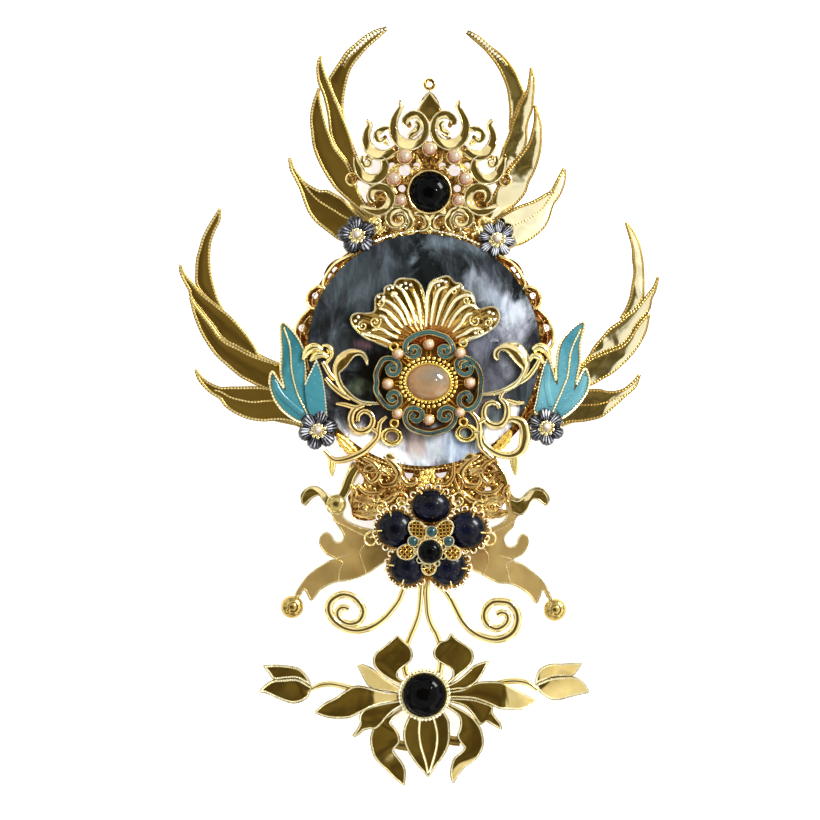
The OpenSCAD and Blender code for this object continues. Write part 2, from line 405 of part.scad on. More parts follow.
// The lotus's petals, each with its two edges from tip to root
lotus_petals = [
    [[[-26.1, -76.2], [-21, -72.75], [-16.5, -70], [-12.5, -70.5], [-5, -71]],
     [[-26, -76.7], [-20, -78.1], [-15, -76.75], [-9.5, -74.4], [-4, -73.6]]],
    [[[-15.4, -64.8], [-12.5, -65.25], [-9.25, -67.75], [-4.5, -70]],
     [[-15.6, -65.2], [-13.75, -68.75], [-11, -71], [-5, -72]]],
    [[[-5.9, -57.6], [-9.5, -60.5], [-11.7, -63.5], [-10, -66.75], [-4.25, -70.5], [-1, -72]],
     [[-5.5, -57.6], [-2.25, -60.5], [-2.25, -63.75], [-5.25, -66.25], [-4.5, -68.5], [0, -70]]],
    [[[-16.8, -82.2], [-15.1, -79.25], [-15.2, -77.4], [-12.5, -75.25], [-5, -73.5]],
     [[-16.5, -82.6], [-14, -81.25], [-11, -80.75], [-7.75, -77.5], [-4, -75]]],
    [[[-4.6, -94.6], [-8.5, -91], [-11.5, -87.75], [-12.3, -83.5], [-10.6, -80.6], [-4, -75]],
     [[-3.8, -94.6], [-3.75, -90.25], [-6.5, -86], [-5, -83.8], [-7, -79.4], [-2.5, -75]]],
    [[[1.8, -92.4], [-2.25, -87.75], [-4.2, -83], [-3, -78], [0, -73]],
     [[2.4, -92.4], [5.75, -87.75], [7.5, -83], [7, -78], [2.5, -73]]],
    [[[7.6, -57.1], [3.75, -60.25], [3.75, -63.25], [8, -66], [7, -68.75], [3, -71]],
     [[8, -57.1], [13, -61], [13.2, -64], [10, -67.25], [5, -71]]],
    [[[17.1, -63.9], [13.5, -64.75], [10, -68], [5, -71]],
     [[17.1, -64.2], [15.25, -67.75], [11.5, -70.75], [5, -72]]],
    [[[29.1, -73.6], [25, -71.5], [20.5, -69], [16, -68.75], [10.5, -70.75], [5, -71.4]],
     [[29, -74], [25.5, -76], [20, -75.75], [15.75, -74], [5, -73]]],
    [[[20.4, -80.7], [18.4, -77], [18, -75], [12.5, -73.25], [5, -73]],
     [[20.2, -81], [16.5, -79.1], [15, -79.6], [11, -75.25], [5, -74]]],
    [[[8.1, -94], [7.75, -89.75], [11, -85.5], [9.3, -82.5], [10, -78.75], [5, -74]],
     [[8.5, -94], [11.5, -90.25], [15, -87.25], [15.8, -82.25], [14.6, -79], [6, -73.5]]]
];
lotus_ribs = [
    [[2.1, -91], [0.4, -86], [-0.25, -81.75], [0, -78.5]],
    [[2.2, -91], [3.9, -86], [4.25, -81.5], [3.5, -78.5]]
];
lotus_webs = [[-4.6, -85.6, 1.6], [8.4, -81.6, 1.8], [-10.8, -79.8, 1.6], [13.6, -78.4, 1.6]];

// The buds' outlines, midlines and stems
left_bud = [
    [-39.1, -65], [-34, -64.8], [-30.2, -65.6], [-27.9, -68], [-26.9, -70.5], [-28.4, -73.3], [-31.5, -74.5],
    [-35, -73.5], [-38, -72.1], [-40, -71.3], [-38.6, -69.6], [-36.6, -68.5], [-37.8, -67]
];
left_bud_ribs = [[[-36.8, -68.4], [-31.75, -68], [-28.2, -70.4]]];
left_bud_stem = [[-27.2, -70.9, 1], [-25, -69.9, 1.2], [-22.5, -69.6, 1.2], [-20, -70, 1.2], [-17, -70.8, 1.2], [-12, -72, 1.2]];
right_bud = [
    [40.4, -64.5], [36, -64.4], [32.2, -64.6], [29.5, -66.3], [28.7, -69.8], [30.6, -72.2], [33.75, -73.7],
    [38, -72.8], [42, -71.2], [41.4, -69.4], [39.6, -68.1], [38.2, -67.6], [39.4, -66.4]
];
right_bud_ribs = [[[38, -67.7], [34.5, -67.8], [32, -68.4], [30.1, -70]]];
right_bud_stem = [[29.4, -71, 1], [27.5, -69.7, 1.2], [25.5, -69, 1.2], [22.5, -68.9, 1.2], [19, -69.6, 1.2], [13, -71.6, 1.2]];

// Shell flowers [x, y, r], which the pins, flowers and pearls share
flowers = [[-15.75, 42.75, 4.75], [19.25, 41.75, 4.6], [-25.5, -6, 4.9], [31.5, -5.25, 4.6]];
flower_t = 2;
hub_t = 1.2;

// Modules of the pieces

module hair_comb() {
    root = 4;
    pitch = (spine_l - root) / (teeth - 1);
    color(gold) translate([comb_c.x, comb_c.y]) {
        linear_extrude(spine_h) offset(r = 1) square([spine_l - 2, root - 2], center = true);
        for (i = [0:teeth - 1]) translate([(i - (teeth - 1) / 2) * pitch, 0]) {
            linear_extrude(1.2) polygon([[-0.75, 0], [0.75, 0], [0.5, -tooth_l], [-0.5, -tooth_l]]);
            translate([0, -tooth_l]) cylinder(r = 0.5, h = 1.2);
        }
    }
}

module plate_outline() {
    translate(disc_c) circle(d = plate_d, $fn = 96);
    for (s = concat(plate_scallops, left_of(disc_c.x, plate_scallops)))
        translate(flat(s)) circle(s.z, $fn = 36);
}
module back_plate() color(gold) {
    sheet(plate_z, plate_t) difference() {
        plate_outline();
        for (s = concat(plate_holes, left_of(disc_c.x, plate_holes))) translate(flat(s)) circle(s.z, $fn = 16);
    }
    collar(disc_c, plate_z + plate_t, disc_d / 2 + 0.1, disc_d / 2 + 0.8, 0.8);
}
module pearl_disc() color("slategray") post(disc_c, disc_z, disc_d / 2, disc_t);

// A wing: its feathers, the tab under the back plate, and rims along every edge
module wing(feathers, ribs, tab, slot = []) color(gold) {
    sheet(wing_z, sheet_t) difference() {
        union() {
            for (f = feathers) blade(f);
            polygon(tab);
        }
        if (len(slot) > 0) polygon(slot);
    }
    raised(wing_z + sheet_t, rim_h) {
        difference() {
            for (f = feathers) blade(f);
            if (len(slot) > 0) polygon(slot);
        }
        difference() {
            for (e = concat([for (f = feathers, e = f) e], ribs)) scroll(wide(e, rim_w));
            offset(delta = 0.4) plate_outline();
            for (f = flowers) translate(flat(f)) circle(1.6, $fn = 24);
        }
    }
}
module top_wing_left() wing(top_left_feathers, top_left_ribs, top_left_tab, top_left_slot);
module top_wing_right() wing(top_right_feathers, top_right_ribs, top_right_tab, top_right_slot);
module side_wing_left() wing(side_left_feathers, side_left_ribs, side_left_tab);
module side_wing_right() wing(side_right_feathers, side_right_ribs, side_right_tab);

crown_t = 0.7;
crown_face = disc_z + crown_t;
crown_rise = 0.8;
stone_r = cab_d / 2;

module crown_lines() {
    both_sides() for (s = crown_scrolls) scroll(s, 2);
    for (c = concat([tip_ring_c], side_rings)) translate(c) circle(1.5, $fn = 36);
    translate(disc_c) difference() {
        circle(plate_d / 2, $fn = 96);
        circle(collar_r, $fn = 96);
        polygon([[0, 0], [90, 33 * 90 / 12.6], [90, -90], [-90, -90], [-90, 33 * 90 / 12.6]]);
    }
}
module crown_body() difference() {
    union() {
        both_sides() polygon(smooth_loop(crown_ground));
        crown_lines();
    }
    both_sides() for (h = crown_holes) translate(flat(h)) circle(h.z, $fn = 20);
    translate(disc_c) circle(collar_r, $fn = 96);
}
module crown() color(gold) difference() {
    union() {
        sheet(disc_z, crown_t) crown_body();
        raised(crown_face, crown_rise) {
            crown_body();
            difference() {
                union() {
                    crown_lines();
                    both_sides() for (p = concat([top_pearl], side_pearls)) translate(flat(p)) circle(p.z * 0.8, $fn = 24);
                    translate(crown_stone_c) circle(stone_r + 0.9);
                }
                translate(crown_stone_c) circle(stone_r + 0.1);
            }
        }
        collar(crown_stone_c, crown_face + crown_rise, stone_r + 0.2, stone_r + 0.7, 0.5);
    }
    post(tip_ring_c, disc_z - 1, tip_ring_d / 2, 5);
    for (c = side_rings) post(c, disc_z - 1, side_ring_d / 2, 5);
}
module crown_stone() color("black") translate([crown_stone_c.x, crown_stone_c.y, crown_face + gap]) dome(stone_r - 0.05, cab_h);
module crown_pearls() color("pink") {
    z = crown_face + crown_rise + gap;
    translate([crown_x, top_pearl.y, z + top_pearl.z]) sphere(top_pearl.z);
    both_sides() for (p = side_pearls) translate([p.x, p.y, z + p.z]) sphere(p.z);
}

module palmette_body() {
    for (p = palmette_lobes)
        scroll([[palmette_c.x, palmette_c.y, 1.2], [(palmette_c.x + p.x) / 2, (palmette_c.y + p.y) / 2, p.z * 0.75], p]);
    polygon(concat([palmette_c], palmette_web));
    for (c = palmette_rings) translate(c) circle(1.3, $fn = 24);
}
module palmette() color(gold) {
    sheet(face_z, 0.6) palmette_body();
    raised(face_z + 0.6, 0.6) {
        palmette_body();
        for (p = palmette_lobes)
            scroll([[(3 * palmette_c.x + p.x) / 4, (3 * palmette_c.y + p.y) / 4, 0.6], [p.x, p.y, p.z * 0.6]]);
    }
}

module medal_body() {
    oval(medal_c, medal_ground[0], medal_ground[1]);
    for (c = clouds) scroll(wide(c, 1.5));
    for (p = medal_pearls) translate(flat(p)) circle(p.z + 0.2, $fn = 24);
    for (c = medal_rings) translate(c) circle(1.3, $fn = 24);
}
medal_t = 0.7;
module medallion() color(gold) {
    post(medal_c, face_z, 7, medal_z - face_z + 0.1);
    sheet(medal_z, medal_t) medal_body();
    raised(medal_z + medal_t, 0.6) {
        medal_body();
        union() {
            difference() {
                for (c = clouds) difference() {
                    scroll(wide(c, 1.3));
                    scroll(wide(c, 0.9));
                }
                for (p = medal_pearls) translate(flat(p)) circle(p.z, $fn = 24);
            }
            for (c = medal_rings) translate(c) circle(1.1, $fn = 24);
            difference() {
                oval(medal_c, oval_r[0] + 1.1, oval_r[1] + 1.1);
                oval(medal_c, oval_r[0] + 0.1, oval_r[1] + 0.1);
            }
        }
    }
}
module cloud_enamel() color("teal") for (c = clouds) sheet(medal_z + medal_t + gap, 0.45) scroll(wide(c, 0.78));
module oval_stone() color("tan") translate([medal_c.x, medal_c.y, medal_z + medal_t + gap])
    scale([oval_r[0], oval_r[1], oval_r[0]] / oval_r[0]) dome(oval_r[0], 2.6, 0.5, $fn = 48);
module medallion_pearls() color("white") for (p = medal_pearls)
    translate([p.x, p.y, medal_z + medal_t + gap + p.z]) sphere(p.z);

module branch(scrolls, ring) color(gold) {
    sheet(face_z, 0.75) difference() {
        union() {
            for (s = scrolls) scroll(s);
            oval(ring, 3.1, 2.4);
        }
        oval(ring, 1.9, 1.4);
    }
    raised(face_z + 0.75, 0.35) {
        for (s = scrolls) scroll(s);
        for (s = scrolls) scroll([for (q = s) [q.x, q.y, q.z / 2]]);
    }
}
module scroll_branch_left() branch(left_branch, left_branch_ring);
module scroll_branch_right() branch(right_branch, right_branch_ring);

leaf_t = 0.6;
leaf_rim = 0.35;
module leaf_outline(p) difference() {
    polygon(smooth_loop(p, 3));
    translate(disc_c) circle(collar_r, $fn = 96);
}
module leaf_field(p, veins, clear) difference() {
    offset(delta = -leaf_rim - clear) leaf_outline(p);
    for (v = veins) scroll(wide(v, 0.5 + 2 * clear));
}
module leaf_tray(p, veins) color(gold) {
    sheet(disc_z, leaf_t) leaf_outline(p);
    sheet(disc_z + leaf_t, 0.6) difference() {
        offset(delta = -0.06) leaf_outline(p);
        leaf_field(p, veins, 0);
    }
}
module leaf_fill(p, veins) color("teal") sheet(disc_z + leaf_t + gap, 0.4) leaf_field(p, veins, 0.08);
module enamel_leaf_left() leaf_tray(left_leaf, left_veins);
module enamel_leaf_right() leaf_tray(right_leaf, right_veins);
module leaf_enamel_left() leaf_fill(left_leaf, left_veins);
module leaf_enamel_right() leaf_fill(right_leaf, right_veins);

module filigree_body() difference() {
    union() {
        polygon(smooth_loop(filigree_web, 3));
        for (s = filigree_scrolls) scroll(s);
    }
    for (h = filigree_holes) oval([h[0], h[1]], h[2], h[3]);
    translate(disc_c) circle(collar_r, $fn = 96);
}
module lower_filigree() color(gold) {
    sheet(disc_z, 0.75) filigree_body();
    raised(disc_z + 0.75, 0.5) {
        filigree_body();
        for (s = filigree_scrolls) scroll(s);
    }
}

module flower_setting() color(gold) {
    post(flower_c, hub_z, 6, setting_z - hub_z + 0.1);
    sheet(setting_z, setting_t) {
        for (g = goldstones) oval([g[0], g[1]], g[2] + 1, g[3] + 1);
        translate(flower_c) circle(5);
    }
    for (g = goldstones) sheet(setting_z + setting_t, 0.6) difference() {
        oval([g[0], g[1]], g[2] + 0.5, g[3] + 0.5);
        oval([g[0], g[1]], g[2] + 0.05, g[3] + 0.05);
    }
}
module goldstone(g) color("midnightblue") translate([g[0], g[1], stone_z])
    if (g[2] == g[3]) dome(g[2] - 0.05, cab_h);
    else scale([g[2], g[3], g[2]] / g[2]) dome(g[2] - 0.05, cab_h, $fn = 48);
module goldstone_top() goldstone(goldstones[0]);
module goldstone_upper_left() goldstone(goldstones[1]);
module goldstone_upper_right() goldstone(goldstones[2]);
module goldstone_lower_left() goldstone(goldstones[3]);
module goldstone_lower_right() goldstone(goldstones[4]);

module mesh_flower() color(gold) {
    post(mesh_hub, stone_z, 1.7, mesh_z - stone_z + 0.1);
    sheet(mesh_z, mesh_t) {
        for (m = mesh_petals) oval([m[0], m[1]], m[2], m[3]);
        translate(flower_c) circle(3.4);
    }
    collar(flower_c, mesh_z + mesh_t, 2.9, 3.4, 0.5);
}
module flower_centre_stone() color("black") translate([flower_c.x, flower_c.y, seat]) dome(2.8, 1.6);
module teal_stone(t) color("teal") translate([t.x, t.y, seat]) dome(t.z, 0.7, 0.2);
module teal_stone_top() teal_stone(teal_stones[0]);
module teal_stone_left() teal_stone(teal_stones[1]);
module teal_stone_right() teal_stone(teal_stones[2]);

module spray(outline, ridges, ball) color(gold) {
    z = hub_z - gap - sheet_t;
    sheet(z, sheet_t) polygon(smooth_loop(outline));
    raised(z + sheet_t, rim_h) {
        polygon(smooth_loop(outline));
        difference() {
            union() {
                scroll(wide(concat(outline, [outline[0]]), rim_w), 2);
                for (r = ridges) scroll(wide(r, rim_w));
            }
            translate(flower_c) circle(6.5);
            offset(delta = 0.4) filigree_body();
        }
    }
    translate([ball.x, ball.y, z + 0.5]) sphere(2.9);
}
module leaf_spray_left() spray(left_spray, left_spray_ridges, left_ball);
module leaf_spray_right() spray(right_spray, right_spray_ridges, right_ball);

module wire(rows) color(gold) sheet(wire_z, wire_t) scroll(wide(rows, wire_t));
module spiral_wire_left() wire(left_spiral);
module spiral_wire_right() wire(right_spiral);
module stem_left() wire(left_stem);
module stem_right() wire(right_stem);

module lotus_body() {
    for (p = lotus_petals) blade(p);
    for (w = lotus_webs) translate(flat(w)) circle(w.z, $fn = 20);
    translate(lotus_c) circle(stone_r + 1.5);
}
module lotus() color(gold) {
    sheet(hub_z, 0.65) lotus_body();
    raised(hub_z + 0.65, rim_h) {
        lotus_body();
        difference() {
            union() {
                for (e = concat([for (p = lotus_petals, e = p) e], lotus_ribs)) scroll(wide(e, rim_w));
                translate(lotus_c) circle(stone_r + 1.2);
            }
            translate(lotus_c) circle(stone_r + 0.4);
        }
    }
    collar(lotus_c, hub_z + 0.65 + rim_h, stone_r + 0.5, stone_r + 1, 0.6);
}
module lotus_stone() color("black") translate([lotus_c.x, lotus_c.y, hub_z + 0.65 + gap]) dome(stone_r + 0.3, cab_h);

module bud(outline, ribs, stem) color(gold) {
    sheet(wire_z, wire_t) {
        polygon(smooth_loop(outline));
        scroll(stem);
    }
    raised(wire_z + wire_t, rim_h) {
        polygon(smooth_loop(outline));
        union() {
            scroll(wide(concat(outline, [outline[0]]), rim_w), 2);
            for (r = ribs) scroll(wide(r, rim_w));
        }
    }
}
module bud_left() bud(left_bud, left_bud_ribs, left_bud_stem);
module bud_right() bud(right_bud, right_bud_ribs, right_bud_stem);

pin_foot = plate_z;
claw_z = face_z + hub_t + gap;
module flower_pin(f) color(gold) {
    post(f, pin_foot, 0.55, claw_z - pin_foot + 0.1);
    post(f, face_z - 0.5, 1.5, 0.45);
    post(f, claw_z, 1.3, 0.5);
}
module flower_pin_upper_left() flower_pin(flowers[0]);
module flower_pin_upper_right() flower_pin(flowers[1]);
module flower_pin_lower_left() flower_pin(flowers[2]);
module flower_pin_lower_right() flower_pin(flowers[3]);

// A carved flower of five domed petals round a hole for its pin
module shell_flower(f) color("dimgray") difference() {
    translate([f.x, f.y, face_z]) {
        cylinder(r = 1.9, h = hub_t);
        for (i = [0:4]) rotate([0, 0, 90 + 72 * i]) translate([0.54 * f.z, 0]) dome(0.46 * f.z, flower_t - 0.5, 0.5);
    }
    post(f, face_z - 1, 0.65, 9);
    post(f, claw_z - gap, 1.4, 5);
}
module shell_flower_upper_left() shell_flower(flowers[0]);
module shell_flower_upper_right() shell_flower(flowers[1]);
module shell_flower_lower_left() shell_flower(flowers[2]);
module shell_flower_lower_right() shell_flower(flowers[3]);

module flower_pearl(f) color("white") translate([f.x, f.y, claw_z + 0.5 + gap + pin_pearl_d / 2]) sphere(d = pin_pearl_d);
module flower_pearl_upper_left() flower_pearl(flowers[0]);
module flower_pearl_upper_right() flower_pearl(flowers[1]);
module flower_pearl_lower_left() flower_pearl(flowers[2]);
module flower_pearl_lower_right() flower_pearl(flowers[3]);

hair_comb();
back_plate();
pearl_disc();
top_wing_left();
top_wing_right();
side_wing_left();
side_wing_right();
crown();
crown_stone();
crown_pearls();
palmette();
medallion();
cloud_enamel();
oval_stone();
medallion_pearls();
scroll_branch_left();
scroll_branch_right();
enamel_leaf_left();
enamel_leaf_right();
leaf_enamel_left();
leaf_enamel_right();
lower_filigree();
flower_setting();
mesh_flower();
flower_centre_stone();
goldstone_top();
goldstone_upper_left();
goldstone_upper_right();
goldstone_lower_left();
goldstone_lower_right();
teal_stone_top();
teal_stone_left();
teal_stone_right();
leaf_spray_left();
leaf_spray_right();
spiral_wire_left();
spiral_wire_right();
stem_left();
stem_right();
lotus();
lotus_stone();
bud_left();
bud_right();
flower_pin_upper_left();
flower_pin_upper_right();
flower_pin_lower_left();
flower_pin_lower_right();
shell_flower_upper_left();
shell_flower_upper_right();
shell_flower_lower_left();
shell_flower_lower_right();
flower_pearl_upper_left();
flower_pearl_upper_right();
flower_pearl_lower_left();
flower_pearl_lower_right();
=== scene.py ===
"""Looks of the hair crown: beaded feathers, scrollwork, shell, pearls, cabochons and enamel round the
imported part. All tables are in millimetres, in the part's frame; pieces are made in metres."""

import bmesh
import bpy
import numpy as np
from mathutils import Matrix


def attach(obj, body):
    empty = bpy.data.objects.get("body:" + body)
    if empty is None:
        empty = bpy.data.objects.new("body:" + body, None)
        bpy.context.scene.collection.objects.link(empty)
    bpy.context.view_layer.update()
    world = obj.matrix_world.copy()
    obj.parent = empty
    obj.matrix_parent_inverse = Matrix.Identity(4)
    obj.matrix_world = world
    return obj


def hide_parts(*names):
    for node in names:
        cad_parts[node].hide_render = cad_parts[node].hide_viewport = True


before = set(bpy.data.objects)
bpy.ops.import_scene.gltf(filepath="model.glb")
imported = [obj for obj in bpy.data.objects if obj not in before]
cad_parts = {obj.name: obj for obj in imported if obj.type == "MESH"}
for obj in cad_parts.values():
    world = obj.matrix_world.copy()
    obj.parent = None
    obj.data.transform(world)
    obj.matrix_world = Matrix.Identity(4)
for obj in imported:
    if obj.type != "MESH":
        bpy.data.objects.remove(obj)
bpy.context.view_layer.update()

MM = 0.001
TAU = 2 * np.pi

# Heights of the part's layers over the plane that it lies on
WING_Z, WIRE_Z, SPRAY_Z, HUB_Z, ENAMEL_Z = 2.9, 3.5, 3.7, 4.65, 5.95
SETTING_Z, FACE_Z, STONE_Z, MEDAL_Z, MESH_Z, SEAT_Z = 6.25, 6.45, 7.05, 7.8, 9.9, 10.65

# The shell disc's centre and the radius that its neighbours keep outside
DISC_X, DISC_Y, DISC_R = 1, 14, 30


# Curves and surfaces

def smooth(rows, step=0.5, loop=False):
    """A curve through the rows: each stretch is the cubic whose slope at a row is half the way from the
    row before to the row after it. Points are then taken evenly along its length, step apart."""
    p = np.array(rows, float)
    q = np.vstack([p[-1:], p, p[:2]]) if loop else np.vstack([2 * p[:1] - p[1:2], p, 2 * p[-1:] - p[-2:-1]])
    t = np.linspace(0, 1, 13)[:-1, None, None]
    a, b, c, d = q[:-3], q[1:-2], q[2:-1], q[3:]
    curve = b + (c - a) * t / 2 + (2 * a - 5 * b + 4 * c - d) * t ** 2 / 2
    curve = curve + (3 * b - a - 3 * c + d) * t ** 3 / 2
    curve = np.vstack([curve.transpose(1, 0, 2).reshape(-1, p.shape[1]), q[-2:-1]])
    return evenly(curve, step=step)


def evenly(curve, step=None, count=None):
    """Points evenly along a polyline, step apart or count of them: its columns are read at even lengths."""
    s = np.r_[0, np.cumsum(np.linalg.norm(np.diff(curve[:, :2], axis=0), axis=1))]
    count = count or max(int(np.ceil(s[-1] / step)) + 1, 3)
    at = np.linspace(0, s[-1], count)
    return np.stack([np.interp(at, s, column) for column in curve.T], 1)


def softly(values, n):
    """Values at even steps joined by straight lines, read at n points and averaged over a seventh of
    them."""
    values = np.atleast_1d(np.asarray(values, float))
    line = np.interp(np.linspace(0, 1, n), np.linspace(0, 1, len(values)), values)
    k = max(n // 14, 1)
    sums = np.cumsum(np.r_[0, np.full(k, line[0]), line, np.full(k, line[-1])])
    return (sums[2 * k + 1:] - sums[:-2 * k - 1]) / (2 * k + 1)


def left_of_path(xy):
    """Unit vectors to the left of a path: its direction turned by a quarter turn."""
    d = np.gradient(xy, axis=0)
    d /= np.maximum(np.linalg.norm(d, axis=1), 1e-9)[:, None]
    return np.stack([-d[:, 1], d[:, 0]], 1)


def unit(degrees):
    """The unit vector at an angle from the right."""
    return np.array([np.cos(np.radians(degrees)), np.sin(np.radians(degrees))])


def ring(centre, radii, count=40, turn=0.0):
    """Rows on a circle or an ellipse round a centre, in order, without the closing row."""
    rx, ry = np.broadcast_to(radii, 2)
    a = np.arange(count) * TAU / count + turn
    return np.stack([centre[0] + rx * np.cos(a), centre[1] + ry * np.sin(a)], 1)


def disc_arc(r, first, last):
    """Rows on a circle round the disc's centre, from one angle in degrees to another."""
    a = np.radians(np.linspace(first, last, 90))
    return np.column_stack([DISC_X + r * np.cos(a), DISC_Y + r * np.sin(a)])


def spiral(centre, r_out, r_in, start, turns, width, end_width):
    """Rows [x, y, width] whose radius goes evenly from r_out to r_in while the angle makes the turns."""
    k = max(int(abs(turns) * 14), 6)
    t = np.linspace(0, 1, k)
    a, r = np.radians(start) + TAU * turns * t, r_out + (r_in - r_out) * t
    w = width + (end_width - width) * t
    return np.stack([centre[0] + r * np.cos(a), centre[1] + r * np.sin(a), w], 1)


def sided(rows, x, sign):
    """The rows, or for sign -1 their mirror image in the upright line at x."""
    p = np.array(rows, float)
    if sign < 0:
        p[:, 0] = 2 * x - p[:, 0]
    return p


def plus(rows, value):
    """The rows' x and y, with one more value for all of them: a width or a height."""
    p = np.array(rows, float)[:, :2]
    return np.column_stack([p, np.full(len(p), value)])


def lozenge(centre, turn, front, half, back):
    """The two edges of a pointed leaf, which reaches front ahead of its centre, half to each side and
    back behind it."""
    c, d, n = np.array(centre, float), unit(turn), unit(turn + 90)
    return [np.array([c + d * front, c + n * half * way, c - d * back]) for way in (1, -1)]


def both_sides(half):
    """A closed profile: its right half, rows [across, up], then the mirror image of that half."""
    h = np.array(half, float)
    return np.vstack([h, (h * [-1, 1])[::-1][h[::-1, 0] > 0]])


# Profiles of swept metal: across is in widths, up in heights
WIRE = ring((0, 0.5), 0.5, 10)
THIN = ring((0, 0.5), 0.5, 6)
DOMED = both_sides([[0.5, 0], [0.5, 0.35], [0.4, 0.68], [0.22, 0.92], [0, 1]])
BAND = both_sides([[0.5, 0], [0.5, 0.62], [0.48, 0.83], [0.44, 0.93], [0.39, 0.98], [0.34, 1], [0, 1]])
STALK = both_sides([[0, 0], [0.36, 0.06], [0.5, 0.3], [0.48, 0.62], [0.4, 0.84], [0.26, 0.95], [0.08, 1]])

# A grain: a top, a high and a low ring of five points each, and a foot, joined by triangles
GRAIN = np.array([
    [0, 0, 1], [1, 0, 0.1], [0.31, 0.95, 0.1], [-0.81, 0.59, 0.1], [-0.81, -0.59, 0.1], [0.31, -0.95, 0.1],
    [0.6, 0.44, 0.72], [-0.23, 0.7, 0.72], [-0.74, 0, 0.72], [-0.23, -0.7, 0.72], [0.6, -0.44, 0.72],
    [0, 0, -0.8],
])
GRAIN_FACES = np.array([
    [0, 6, 7], [0, 7, 8], [0, 8, 9], [0, 9, 10], [0, 10, 6], [1, 2, 6], [2, 7, 6], [2, 3, 7], [3, 8, 7],
    [3, 4, 8], [4, 9, 8], [4, 5, 9], [5, 10, 9], [5, 1, 10], [1, 6, 10], [2, 1, 11], [3, 2, 11], [4, 3, 11],
    [5, 4, 11], [1, 5, 11],
])


